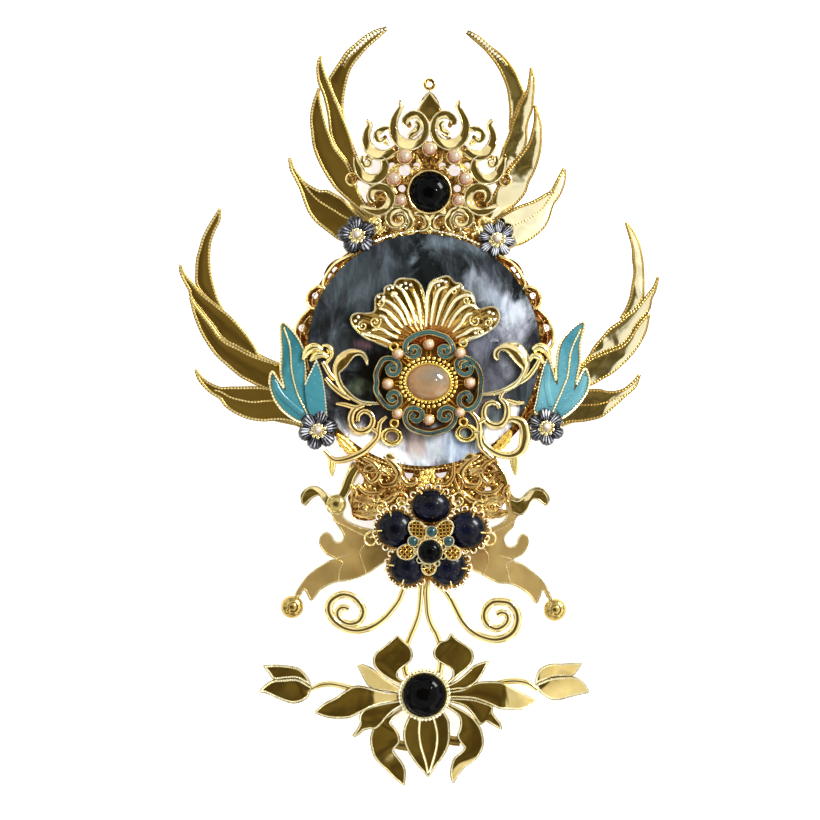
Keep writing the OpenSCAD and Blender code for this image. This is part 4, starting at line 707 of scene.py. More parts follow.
TOP_LEFT = [
    ([[-8.3, 94.8], [-10.5, 94.5], [-13.5, 93], [-16.2, 90.8], [-18.5, 88.8], [-20.2, 86.2], [-22, 83.5],
      [-23, 81.2], [-21.5, 77], [-19, 72]],
     [[-8.2, 94.2], [-10.5, 92], [-13, 89.8], [-15, 87.5], [-16.8, 85.2], [-17.8, 83], [-18.5, 80.2],
      [-19, 77.2], [-19.2, 74.5], [-18.8, 71.5]]),
    ([[-25, 87.8], [-25.8, 86], [-25.9, 83.5], [-25.5, 81], [-24.2, 77.8], [-23.2, 73.5], [-22.8, 70.2],
      [-22.5, 67.8], [-21.5, 65.2], [-19.5, 62.5], [-18, 60.5], [-16.5, 57]],
     [[-24.8, 87.8], [-24.2, 85], [-23.5, 82.8], [-22.5, 80.2], [-21.2, 77], [-20, 74.2], [-18.8, 71.2],
      [-17.5, 67.8], [-16.5, 64.5], [-15.5, 62], [-14, 59], [-12, 55]]),
    ([[-25.4, 79.6], [-26.5, 77], [-27.2, 74.5], [-27.5, 71.5], [-27.2, 68.5], [-26.8, 65.2], [-25.8, 62.2],
      [-24.5, 59.5], [-23, 57], [-21.2, 54.5], [-18, 51.5], [-14, 48]],
     [[-25.3, 79.6], [-25, 77], [-24.2, 73.5], [-23.3, 70], [-22.5, 67.8], [-21.5, 65.2], [-19.5, 62.5],
      [-18, 60.5], [-16.5, 57], [-15, 53], [-12.5, 49]]),
    ([[-32.2, 62.4], [-31.5, 60], [-30.2, 58], [-28.8, 56.2], [-27, 55], [-25, 54], [-23.2, 54],
      [-21.2, 53], [-19.2, 51.8], [-16.5, 49], [-13, 46]],
     [[-33, 62], [-32.5, 59], [-31.2, 56.5], [-30, 54], [-29.2, 51.8], [-28.5, 49.8], [-27.5, 47.8],
      [-26, 46], [-24.2, 44.5], [-22.5, 43.2], [-20, 41.5], [-15, 40]]),
]
TOP_LEFT_VEINS = [
    [[-30.3, 57.2], [-29, 55.5], [-27.5, 53.5], [-25.5, 51.5], [-23.2, 50], [-21.2, 48.8], [-19.2, 47.5],
     [-17, 46.5]],
]
TOP_LEFT_TAB = [[-17.5, 51], [-12.5, 51], [-8.5, 41], [-10, 37.5], [-15, 38.5], [-20, 41.8]]
TOP_RIGHT = [
    ([[12, 93.8], [14, 93.2], [16, 91.8], [18, 90], [20, 88.5], [22, 86.5], [23.8, 84], [25, 81.5],
      [25.8, 79.5], [26.2, 78.2], [24.8, 75.5], [23, 71]],
     [[11.4, 93.4], [13.5, 91.5], [15.8, 89.5], [17.8, 87.2], [19.5, 84.8], [20.8, 82.2], [21.8, 79.5],
      [22.2, 77], [22.5, 74], [22.5, 71.5], [22.5, 69]]),
    ([[27.6, 84.8], [27.2, 82], [26.8, 79.5], [26, 77.8], [24.8, 75.5], [24, 73.2], [23, 71], [22.5, 69],
      [21.8, 67], [20.8, 64.8], [20, 62], [18, 57]],
     [[27.9, 84.8], [28.8, 82], [28.8, 79.5], [28.5, 77], [28.2, 74], [27.2, 71.5], [26.8, 69],
      [26.8, 66.5], [26, 64], [24.5, 62], [23, 60.2], [21.8, 58.5], [19.5, 55]]),
    ([[28.6, 75.4], [28.6, 72], [28.1, 69], [27.2, 66], [26, 64], [24.5, 62], [23, 60.2], [21.8, 58.5],
      [19.5, 55], [17, 50]],
     [[29, 75.2], [30, 72.2], [30.5, 69.5], [30.5, 66.5], [30.2, 63.5], [29.5, 60.8], [28.5, 58.2],
      [27.2, 55.8], [26.5, 53.5], [25, 51.5], [21.2, 47.8], [17, 45]]),
    ([[35.8, 59.7], [34.8, 57.8], [33.8, 55.8], [32.8, 54], [31.2, 53], [29.5, 52], [27.5, 51],
      [26.8, 50.8], [24.5, 50], [22.5, 49], [18, 46.5]],
     [[36.4, 59.3], [36.5, 57], [36, 54.8], [34.8, 52.2], [33.5, 50.5], [32.8, 48.5], [32.2, 46.5],
      [31, 44.5], [29.2, 42.8], [26.8, 41.2], [24.2, 40.2], [19, 39.5]]),
]
TOP_RIGHT_VEINS = [
    [[33.8, 53.8], [32.5, 52.2], [31.2, 50.2], [29.2, 48.2], [27, 46.8], [24.2, 45.5], [21.5, 44.4]],
]
TOP_RIGHT_TAB = [[16, 50], [20.5, 50], [24.5, 40.3], [19, 37.5], [13, 37], [11, 41]]
SIDE_LEFT = [
    ([[-50.3, 49.5], [-51.8, 47.2], [-53.2, 44.8], [-54.5, 42.2], [-55.2, 39.8], [-56, 36.8], [-56.2, 34],
      [-56, 30], [-53.5, 27], [-50, 24.4]],
     [[-49.8, 49.4], [-50, 46.5], [-51.2, 44], [-52.2, 41.2], [-52.5, 38.5], [-52.5, 35.2], [-52, 32],
      [-51.2, 29], [-50.2, 26.2], [-49, 23.8]]),
    ([[-60, 35.4], [-60.4, 34.8], [-60, 32.8], [-59, 30.8], [-58, 29], [-57.5, 27], [-56, 25], [-54, 22.5],
      [-52, 20], [-50.5, 17.8], [-48.5, 16], [-46, 14.8], [-43, 13.2], [-40, 12], [-35, 10.4]],
     [[-59.8, 35.4], [-58.8, 33.2], [-57.5, 31.5], [-56.2, 30], [-55.2, 28.8], [-53.5, 27.2], [-51.8, 26],
      [-50, 24.5], [-48, 23], [-46, 21], [-44.2, 19], [-42.5, 16.8], [-41, 14.5], [-40, 12.8], [-34, 9.8]]),
    ([[-57.7, 27.2], [-57, 24], [-56, 21], [-54.8, 18.2], [-53, 15.2], [-51, 12.5], [-48.8, 10.5],
      [-46.5, 8.5], [-44.5, 7], [-42.5, 6], [-40, 4.8], [-35, 3]],
     [[-57.3, 27], [-56, 25], [-54, 22.5], [-52, 20], [-50.5, 17.8], [-48.5, 16], [-46, 14.8], [-43, 13.2],
      [-40, 12], [-35, 10.4]]),
    ([[-56, 9.3], [-54.2, 7], [-52.5, 5.8], [-50.2, 4.8], [-47.5, 4.8], [-44.5, 4.8], [-40.5, 4.8],
      [-35, 4]],
     [[-56.4, 9.2], [-55.8, 7], [-54.5, 5.2], [-52.5, 3.2], [-50, 1.75], [-48.8, 0], [-46.8, -1.5],
      [-44.2, -2.8], [-41.8, -3.5], [-38.8, -3.8], [-35.5, -3.5], [-32.5, -3.8], [-29, -5]]),
]
SIDE_LEFT_VEINS = [
    [[-51.5, 4], [-49.8, 3.5], [-47.5, 2.2], [-45, 1.5], [-42, 1], [-38.8, 1.25], [-36, 1.4]],
]
SIDE_LEFT_TAB = [[-38, 11], [-31, 10], [-22, 8], [-19, -2], [-25, -7.8], [-31, -5], [-38, -3.5]]
SIDE_RIGHT = [
    ([[51.3, 45.9], [52.2, 42.8], [53, 39.8], [53.2, 36.5], [53.5, 33.5], [53, 30.2], [52.5, 27.2],
      [51.5, 24.5], [50, 21.8]],
     [[51.9, 46.2], [53.5, 44], [54.8, 41.5], [55.5, 39], [56, 36], [56.2, 32.8], [56.2, 29.5], [56, 27],
      [54, 24.4], [51, 22.2]]),
    ([[59.4, 32.4], [58.5, 30.2], [57.5, 28.8], [56.5, 27.5], [55.2, 25.8], [53.5, 24], [51.8, 22.8],
      [50, 21.2], [47.5, 19.5], [45.5, 17.2], [43.5, 14.8], [42, 12.2], [40.2, 10], [36, 8]],
     [[59.9, 32.3], [59.2, 29], [58.2, 26.8], [57.8, 24.5], [57.2, 23.5], [55.8, 22], [54.2, 20],
      [52.5, 17.2], [50.5, 15.2], [47.5, 14], [45, 13], [42.5, 11.8], [40.5, 10], [37, 7]]),
    ([[57.2, 23.2], [55.8, 22], [54.2, 20], [52.5, 17.2], [50.5, 15.2], [47.5, 14], [45, 13], [42.5, 11.8],
      [40.5, 10], [37, 7]],
     [[57.6, 22.9], [57, 19.5], [56, 17], [54.5, 14.5], [52.5, 12], [50.2, 9.8], [48, 8], [45.8, 6.8],
      [44.5, 6], [42.5, 5], [37, 3]]),
    ([[54.8, 8], [53, 6], [51.2, 4.5], [49, 3.8], [46.5, 3.8], [45.2, 4.2], [41, 4.2], [36, 4]],
     [[55.3, 7.9], [54.2, 4.8], [52.5, 3.2], [50.8, 1.75], [49.2, 0.25], [47.5, -1.25], [45.5, -2.8],
      [43, -3.5], [40, -4], [36.8, -4.2], [33, -6]]),
]
SIDE_RIGHT_VEINS = [[[51.5, 2.8], [50, 2.2], [47.5, 1.25], [45, 0.5], [42.5, 0.25], [38.5, 0.3]]]
SIDE_RIGHT_TAB = [[37, 10], [30, 9], [23, 6], [22, 0], [30, -7.2], [35, -5.5], [39, -4]]


def wing(node, feathers, veins, tab, tilts, arch):
    """A wing: its feathers lie a little over each other, and a plate under their roots joins them. A row
    of beads runs along each edge, and a thick beaded rib along the first feather of a top wing."""
    # Left wings take the darker mirror gold, painted shade; right wings take the paler rippled gold, painted
    # light
    metal, beads = (shaded_mirror_gold, wing_bead_gold) if "left" in node else (lit_rippled_gold, shaded_bead_gold)
    piece = Piece(node + "_feathers", [metal, beads, comb_gold, shade_strip_gold, bead_gold], stands_for=[node])
    for k, ((a, b), tilt) in enumerate(zip(feathers, tilts)):
        piece.feather(a, b, WING_Z + 0.06 * k, 0.8, arch, tilt, lip=0, beads=0.31, shade_margin=3)
    for vein in veins:
        piece.rope(vein, WING_Z + 1.2, 0.3, 0.8, 1)
    if "top" in node:
        a, b = (np.array(edge, float)[:6] for edge in feathers[0])
        line = a + (b - a) * 0.34
        # A darker band under the rib: painted shade
        piece.strip(plus(smooth(line, 0.3), WING_Z + 0.8), 1.3, 0.3, 3)
        piece.rope(line, WING_Z + 0.95, [0.2, 0.5, 0.68, 0.7, 0.62, 0.4, 0.15], 0.95, 4)
    piece.slab(tab, WING_Z, 0.75, 2)
    piece.made()


wing("top_wing_left", TOP_LEFT, TOP_LEFT_VEINS, TOP_LEFT_TAB, [0.02, 0.02, 0.03, 0.03], 0.05)
wing("top_wing_right", TOP_RIGHT, TOP_RIGHT_VEINS, TOP_RIGHT_TAB,
     [[-0.14, -0.05, -0.05, -0.14, -0.12, -0.2], [-0.16, -0.12, -0.14, -0.04, -0.03, -0.12, -0.26],
      [-0.18, -0.14, -0.06, -0.02, -0.12, -0.26, -0.28], -0.26], 0.15)
wing("side_wing_left", SIDE_LEFT, SIDE_LEFT_VEINS, SIDE_LEFT_TAB, [0.02, 0.03, 0.03, 0.03], 0.08)
wing("side_wing_right", SIDE_RIGHT, SIDE_RIGHT_VEINS, SIDE_RIGHT_TAB,
     [[-0.2, -0.18, -0.16, -0.13], [-0.18, -0.15, -0.13, -0.1, -0.05], [-0.18, -0.15, -0.12, -0.07, -0.03],
      [-0.18, -0.12, -0.06, -0.04, -0.03]], 0.15)


# The crown: rows [distance from its axis, y, width] of its right half

CROWN_X = 2.4
CROWN_SCROLLS = [
    [[7.3, 76, 1.0], [7.1, 74.7, 1.2], [8.2, 72.9, 1.4], [9, 70.8, 1.7], [9, 68.9, 1.9], [8.3, 67, 2.3],
     [6.6, 65.6, 2.6], [4.4, 65.3, 2.4], [2.3, 66.2, 1.9], [1.2, 67.8, 1.6], [0.9, 69.5, 1.5],
     [1.4, 71.3, 1.5], [2.5, 72.5, 1.6], [3.9, 72.9, 1.8], [5.3, 72.3, 1.8], [6.1, 71.2, 1.6],
     [5.8, 70.3, 0.9]],
    [[5.1, 67.3, 0.7], [4.3, 68.2, 1.1], [3.2, 69, 1.3], [2.7, 70.3, 1.1], [3.6, 71.1, 0.7]],
    [[15.5, 71.5, 1.0], [14.9, 70.2, 1.2], [15.5, 68.8, 1.4], [15.9, 67, 1.7], [15.6, 65.2, 2.1],
     [14.4, 63.6, 2.5], [12.7, 62.7, 2.5], [10.7, 62.9, 2.1], [9.1, 63.9, 1.5]],
    [[10.1, 69.3, 1.1], [11.7, 69.2, 1.3], [13, 68.3, 1.4], [13.3, 67, 1.3], [12.4, 66.3, 1.1],
     [11.4, 66.7, 0.8]],
    [[18.5, 62.2, 0.8], [18, 60, 1.6], [17.1, 58, 2], [15.2, 56.8, 2.2], [13.1, 56.9, 2.2], [11.6, 58, 2],
     [11.1, 59.7, 1.8], [11.6, 61.3, 1.4], [12.6, 62, 0.8]],
    [[16.4, 62.5, 0.8], [16.8, 61.2, 1.1], [16.2, 60.2, 1.1], [15.1, 60.3, 1.1], [14.9, 61.2, 0.9],
     [15.5, 61.6, 0.6]],
    [[17.4, 49.9, 0.5], [16.2, 49.5, 1.0], [14.6, 48.8, 1.4], [12.7, 48.5, 1.6], [10.9, 49.3, 1.8],
     [9.8, 51, 2], [9.9, 53, 2], [11.1, 54.4, 1.9], [12.8, 54.7, 1.8], [14.3, 53.8, 1.7], [14.7, 52.2, 1.5],
     [14.0, 50.9, 1.0]],
    [[7.0, 49.5, 0.9], [5.2, 48.2, 1.2], [4.5, 45.9, 1.3], [5.6, 43.9, 1.0]],
    [[7.2, 49.2, 1.0], [9, 48.9, 1.3], [10.3, 47.3, 1.4], [9.9, 45.7, 1.3], [8.6, 45.1, 1.1], [7, 45.4, 1],
     [6.3, 46.5, 0.9], [6.9, 47.7, 0.8], [8.2, 47.5, 0.7]],
    [[3.8, 48.1, 0.8], [2.3, 48.1, 1.0], [1.0, 47.3, 1.2], [0.4, 45.7, 1.2], [1.0, 44.3, 0.9],
     [2.4, 44, 0.7]],
]
CROWN_WIRES = [
    [[0.3, 59.1, 0.45], [1.1, 60.6, 0.5], [1.9, 62.5, 0.45]],
    [[4.3, 57.6, 0.5], [4.5, 58.9, 0.7], [3.5, 59.8, 0.7], [2.4, 59.0, 0.5]],
    [[11.9, 61.2, 0.7], [9.4, 62.4, 0.8], [7.2, 64.0, 0.8], [4.6, 64.3, 0.7], [2.6, 64.9, 0.5]],
    [[9.4, 59.6, 0.5], [8, 60.4, 0.7], [6.4, 60.2, 0.7]],
    [[10.4, 55.6, 0.6], [9.2, 54.5, 0.9], [8.3, 53.2, 0.7]],
    [[13.6, 47.6, 0.6], [12.4, 46.2, 1.0], [12.6, 44.4, 1.0], [13.8, 43, 0.6]],
    [[3.2, 43.9, 0.5], [4.2, 43.1, 0.7], [5.6, 42.6, 0.5]],
    [[10.9, 44.6, 0.6], [9.6, 43.6, 0.9], [8, 43.4, 0.8], [6.6, 42.4, 0.5]],
]
CROWN_LEAVES = [
    [[7.6, 59.9, 0.3], [8.7, 58.9, 0.8], [10, 58.8, 0.5]],
    [[10.2, 49.3, 0.4], [8.9, 50.1, 0.8], [7.9, 50.8, 0.4]],
    [[10, 65.2, 0.4], [11, 66.2, 0.8], [12, 67, 0.4]],
    [[12.6, 43.2, 0.4], [11.4, 44.5, 0.9], [11.1, 46, 0.5]],
    [[3.2, 62.9, 0.3], [2.9, 61.6, 0.7], [2.0, 60.7, 0.3]],
    [[6.3, 43, 0.4], [5.2, 44.3, 0.8], [5.3, 45.6, 0.4]],
    [[16, 45.8, 0.3], [14.4, 46.3, 0.9], [13, 47.4, 0.5]], [[0, 42.9, 0.4], [0, 44.3, 1.0], [0, 46, 0.4]],
    [[9.3, 41.9, 0.3], [8.4, 43, 0.8], [7.6, 44.6, 0.4]],
]
# How far the scrolls' flat faces lean along their length, by turns
CROWN_LEANS = [
    [0.26, 0, 0.02, 0.24, 0.06, 0, 0.2, 0], [0.1, 0, 0.22, 0.04, 0, 0.16], [0.24, 0.06, 0, 0.24, 0.1, 0],
]
CROWN_STONE = (CROWN_X, 53.5)
SIDE_PEARLS = [[6.2, 62.3, 1.9], [8.9, 56.8, 1.8], [7.2, 51.4, 1.5]]
PEARL_Z = 6.45
RINGS = [(CROWN_X, 80.4), (-17, 56.75), (21.4, 56.5)]


def crown_scrolls(piece, sign):
    """One half of the crown's scrolls, with bright wires along their shoulders, thin wires and curled
    leaves."""
    for k, rows in enumerate(CROWN_SCROLLS):
        p = sided(rows, 0, sign) + [CROWN_X, 0, 0]
        p[:, 2] *= 1.2
        lean = np.array(CROWN_LEANS[k % 3]) * sign
        piece.sweep(p, BAND, 5.6, 1.1, 0, 0.35, taper=0.15, lean=lean)
        line = smooth(p, 0.35)
        width = line[:, 2]
        across = left_of_path(line[:, :2]) * width[:, None] * 0.43
        top = 6.62 - 0.3 * (1 - width / width.max())
        raised = 0.43 * width * softly(lean, len(line))
        for way in (-1, 1):
            piece.strip(np.column_stack([line[:, :2] + way * across, top + way * raised]), 0.34, 0.3, 3)
    for rows in CROWN_WIRES:
        p = sided(rows, 0, sign) + [CROWN_X, 0, 0]
        piece.sweep(p * [1, 1, 1.1], DOMED, 5.6, 0.75, 1, 0.35, taper=0.15)
    for x, y, r in SIDE_PEARLS:
        piece.hoop((CROWN_X + sign * x, y), r * 0.95, 0.5, 6.2, 0.4, 2)
    for rows in CROWN_LEAVES:
        piece.acanthus(sided(rows, 0, sign) + [CROWN_X, 0, 0], 5.75, 0.75, 3, 2)


def crown():
    """Head piece: scrolls over the pierced ground, a drop-shaped finial, rings, a setting, grains at its
    foot and a row of beads along the disc."""
    piece = Piece("crown_scrolls", [mirror_gold, bright_gold, relief_gold, bead_gold])
    for sign in (-1, 1):
        crown_scrolls(piece, sign)
    piece.hoop((CROWN_X, 64.25), 1.7, 0.5, 6.2, 0.4, 2)
    drop = [[0, 79], [1.4, 77], [2.8, 74.9], [3, 73.2], [0, 70.6]]
    edges = [sided(drop, 0, sign) + [CROWN_X, 0] for sign in (-1, 1)]
    piece.feather(*edges, 5.3, 0.9, 0.1, -0.03, lip=0.55, lip_finish=3, lip_up=0.45, step=0.4)
    for centre in RINGS:
        piece.hoop(centre, 1.25, 0.95, 5.1, 0.85, 1, 0.4, 20)
    piece.hoop(CROWN_STONE, 5.35, 0.45, 6.6, 0.4, 1, count=40)
    dice = np.random.default_rng(7)
    count = 70
    x, y = dice.uniform(-13.5, 13.5, count) + CROWN_X, dice.uniform(41.5, 46, count)
    keep = (np.hypot(x - DISC_X, y - DISC_Y) > DISC_R) & (np.hypot(x - CROWN_X, y - CROWN_STONE[1]) > 6.3)
    grains = np.column_stack([x, y, dice.uniform(5.8, 6.1, count), dice.uniform(0.3, 0.5, count)])
    piece.grains(grains[keep], 2)
    piece.rope(disc_arc(29.8, 62, 118), 6.1, 0.4, 0.95, 3)
    piece.made()


crown()


def pearls(name, places, z, finish, node, wobble=0.03):
    """Slightly uneven pearls, each a turned ball of its radius with its foot at z."""
    piece = Piece(name, [finish], "pearl", [node])
    t = np.linspace(0.06, np.pi - 0.06, 13)
    for x, y, r in places:
        piece.turned((x, y), r, np.column_stack([np.sin(t), z + r + r * np.cos(t)]), 0, 28, wobble)
    piece.made()


def stone(name, centre, radii, z, girdle, rise, finish, node, slot):
    """A cabochon: its top is rise times the root of one less the share of the radius squared, over a
    girdle."""
    piece = Piece(name, [finish], slot, [node])
    t = np.linspace(0.02, 1, 16) ** 0.8 * np.pi / 2
    dome = np.column_stack([np.sin(t), z + girdle + rise * np.cos(t)])
    piece.turned(centre, radii, np.vstack([dome, [[1.0, z + girdle * 0.5], [0.97, z]]]), 0, 72)
    piece.made()


crown_pearls = [[CROWN_X, 64.2, 1.8]] + [[CROWN_X + s * x, y, r] for s in (-1, 1) for x, y, r in SIDE_PEARLS]
pearls("crown_peach_pearls", crown_pearls, PEARL_Z, pink_pearl, "crown_pearls")
stone("crown_black_cabochon", CROWN_STONE, 4.95, 5.65, 0.6, 2.4, agate, "crown_stone", "black_stone")


# The fan on the disc

FAN_C = np.array([2.5, 14.6])
FAN_EDGE = [
    [-8, 14.6], [-11.2, 16], [-13.8, 17.2], [-16, 19], [-17.2, 21], [-17, 22.5], [-15.5, 23.2],
    [-13.2, 23.1], [-11.4, 23.6], [-11.2, 25.5], [-11.1, 27], [-10.2, 28], [-9, 28.2], [-8.8, 29.5],
    [-7.5, 30.2], [-6.5, 30], [-6.2, 31], [-5, 31.8], [-3.2, 31.8], [-1.25, 31.5], [0.25, 30], [0.9, 28.2],
    [1.2, 25.4], [1.6, 27], [1.9, 29], [2.6, 30.8], [4.5, 31.9], [7, 32.4], [8.6, 30.9], [10.2, 30.5],
    [10.9, 29], [12.5, 28.5], [13.5, 27], [13.8, 25.2], [15, 24.2], [17.5, 24.8], [19.2, 24.2],
    [19.8, 22.2], [19, 20.2], [17, 18.5], [14.5, 17.2], [12, 16.2], [10.5, 15.5],
]
FAN_RIBS = [
    [[0.3, 19.6], [0, 23], [-0.5, 26], [-1.5, 28.5]],
    [[-1, 19.8], [-1.6, 23], [-2.8, 26], [-4.3, 28.8], [-6, 30]],
    [[-2.3, 20], [-3.4, 23.5], [-5.4, 26.6], [-6.9, 28.2]],
    [[-3.4, 20.2], [-5, 23.2], [-7.2, 25.6], [-9.6, 26.8]],
    [[-4.4, 19.6], [-6.4, 22], [-8.4, 23.8], [-10.2, 24.4]],
    [[-5, 18.2], [-7.5, 20.2], [-9, 22.2], [-10.2, 22.6]],
    [[-5.6, 16.9], [-8, 18.2], [-9.8, 19.3], [-12, 19]],
    [[-7, 15.6], [-9.5, 16.8], [-12, 17.6], [-14.6, 18.2]],
    [[1.5, 19.8], [1.7, 24], [1.9, 27.5], [3.3, 30.6], [6, 31.3]],
    [[2.7, 20.2], [3.2, 24], [3.9, 27], [5, 29.1], [6.8, 29.8]],
    [[4, 20.2], [5, 24], [6.3, 27], [8.2, 29.2], [10, 29.9]],
    [[5.4, 20], [7, 23.6], [8.8, 26.4], [11, 27.6], [12.8, 27.4], [13.3, 26]],
    [[7, 19.6], [8.8, 22.6], [10.8, 24.6], [12.8, 25.2], [14.4, 24.2]],
    [[8.2, 18.4], [10.2, 20.4], [11.6, 22.6], [13, 23.2]],
    [[9, 17], [11.4, 18.2], [13, 19.2], [15.2, 19.4]],
    [[10.2, 15.8], [12.4, 16.8], [14.6, 17.4], [17, 18.6]],
]
# Curls on the fan: x, y, radius, start angle, turns
FAN_CURLS = [
    (-14.3, 20, 1.2, 90, 1.4), (-11.2, 21, 1.5, 30, -1.5), (13.7, 21.3, 1.4, 120, 1.5),
    (17, 20.9, 1.1, 90, -1.4), (15, 18.3, 0.8, 0, 1.2), (-6.6, 27.8, 0.8, 0, 1.2),
    (8.4, 28.6, 0.8, 180, -1.2), (-9.7, 25.8, 0.9, 200, 1.2), (11.6, 26.4, 0.9, 0, -1.2),
]
FAN_GRAINS = [
    [-3.6, 30.6], [-2.4, 30.2], [-4.8, 30.1], [-3.4, 29.4], [3.9, 31], [5.2, 31.3], [6.4, 30.9], [4.6, 30.1],
    [-15.4, 22.2], [-16.2, 21.2], [-16, 19.8], [18.2, 23], [17.2, 23.4], [18.6, 21.6], [17.6, 19.4],
    [-12.8, 18.2], [-11.4, 17.3], [-10.3, 27.2], [-9.1, 27.2], [-7.9, 29.2], [-6.9, 29.5], [13.8, 18.2],
    [10.6, 29.4], [12.3, 27.6], [9.6, 29.9],
]


def fan():
    """Fluted fan: its height falls evenly from the middle to the rim, flutes swell between the two, and
    their lines bend towards straight up near the middle. Bright ribs are carried over it."""
    piece = Piece("palmette_fan", [fan_gold, bright_gold, bead_gold], stands_for=["palmette"])
    edge = evenly(smooth(FAN_EDGE, 0.3), count=300) - FAN_C
    angle = np.unwrap(np.arctan2(edge[:, 1], edge[:, 0]))
    s = np.linspace(0.1, 1, 18)
    reach = np.hypot(edge[:, 0], edge[:, 1])[:, None] * s
    turned = np.pi / 2 + (angle[:, None] - np.pi / 2) * (1 - 0.22 * (1 - s) ** 1.5)
    flutes = np.abs(np.sin(angle * 17.0 + 0.4))[:, None] ** 0.8 * np.sin(np.pi * s) ** 0.5
    top = FACE_Z + 0.7 + 0.25 * flutes + 0.35 * (1 - s)
    face = np.stack([FAN_C[0] + reach * np.cos(turned), FAN_C[1] + reach * np.sin(turned), top], -1)
    back = face[:, ::-1] * [1, 1, 0] + [0, 0, FACE_Z]
    p = np.concatenate([face, back], 1)
    piece.grid(np.concatenate([p, p[:, :1]], 1), 0)
    piece.sweep(plus(FAN_EDGE, 0.52), WIRE, FACE_Z + 0.7, 0.7, 2, 0.4)
    for rows in FAN_RIBS:
        t = np.linspace(0, 1, len(rows))
        width = 0.5 + 0.42 * np.sin(np.pi * np.minimum(t * 0.85 + 0.1, 1)) + 0.1 * t
        piece.sweep(np.column_stack([rows, width]), DOMED, FACE_Z + 0.85, 0.9, 2, 0.35, taper=0.5)
    for x, y, r, start, turns in FAN_CURLS:
        piece.sweep(spiral((x, y), r, 0.3, start, turns, 0.44, 0.36), WIRE, FACE_Z + 1.1, 0.4, 1, 0.25)
    piece.grains([[x, y, FACE_Z + 1.25, 0.42] for x, y in FAN_GRAINS], 2)
    piece.made()


fan()


# The medallion

MEDAL_C = (2.1, 5.9)
CLOUDS = [
    [[-1.8, 13.2], [-2.5, 13.9], [-1.7, 14.8], [-0.45, 14.4], [-0.3, 13], [-1.7, 12.3], [-3.3, 13.1],
     [-3.7, 14.4], [-3.2, 16.1], [-1.5, 17.4], [0.4, 18.1], [2.4, 18.4], [4.8, 17.8], [6.7, 17], [8, 15.2],
     [8.2, 13.4], [6.7, 12.3], [5.1, 12.9], [5.1, 14.5], [6.4, 14.8], [7.1, 13.9], [6.3, 13.3]],
    [[-6.6, 9], [-6.2, 9.7], [-7.2, 10.2], [-8.1, 9.3], [-7.5, 8], [-6.0, 8], [-5.1, 9.4], [-5.5, 10.9],
     [-7.1, 11.8], [-9.1, 11.6], [-10.1, 10.2], [-11, 8], [-10.8, 5.8], [-11, 4], [-10, 2.1], [-8.6, 0.3],
     [-6.9, -0.5], [-5.2, 0.6], [-5.2, 2.6], [-6.6, 3.5], [-7.8, 2.5], [-7.1, 1.3], [-6.2, 1.8]],
    [[10.9, 9.4], [10.8, 10.3], [11.9, 10.5], [12.8, 9.6], [12.4, 8.3], [10.8, 7.9], [9.4, 9.1], [9.2, 11],
     [10.7, 12], [12.3, 11.5], [14.3, 9.8], [15.2, 7.1], [15.1, 4.9], [14.8, 2.1], [13.4, -0.3],
     [11.4, -0.8], [9.9, 0.5], [10, 2.5], [11.7, 3.3], [12.7, 2], [11.8, 1]],
    [[-1.4, -1.9], [-2.1, -2.8], [-1, -3.7], [0.3, -3], [0.4, -1.5], [-1, -0.6], [-2.8, -0.8], [-3.7, -2.3],
     [-3.5, -4], [-2.3, -5.5], [-0.1, -6.4], [2.4, -6.9], [4.9, -6.4], [7.1, -5.5], [8.6, -3.7],
     [8.7, -1.5], [7.1, -0.4], [5.3, -1], [4.9, -2.8], [6.2, -3.5], [7.3, -2.8], [6.8, -1.9]],
]
MEDAL_PEARLS = [
    [2.2, 15.4, 1.5], [-5.5, 13, 1.5], [10, 13.2, 1.5], [-8, 5.5, 1.5], [12.4, 5.8, 1.5], [-5.6, -1.9, 1.4],
    [9.9, -1.6, 1.4], [2.2, -3.4, 1.5],
]
MEDAL_CUPS = [(-6.4, -4.3), (10.8, -4), (-6.5, 14.75), (10.75, 15.75)]


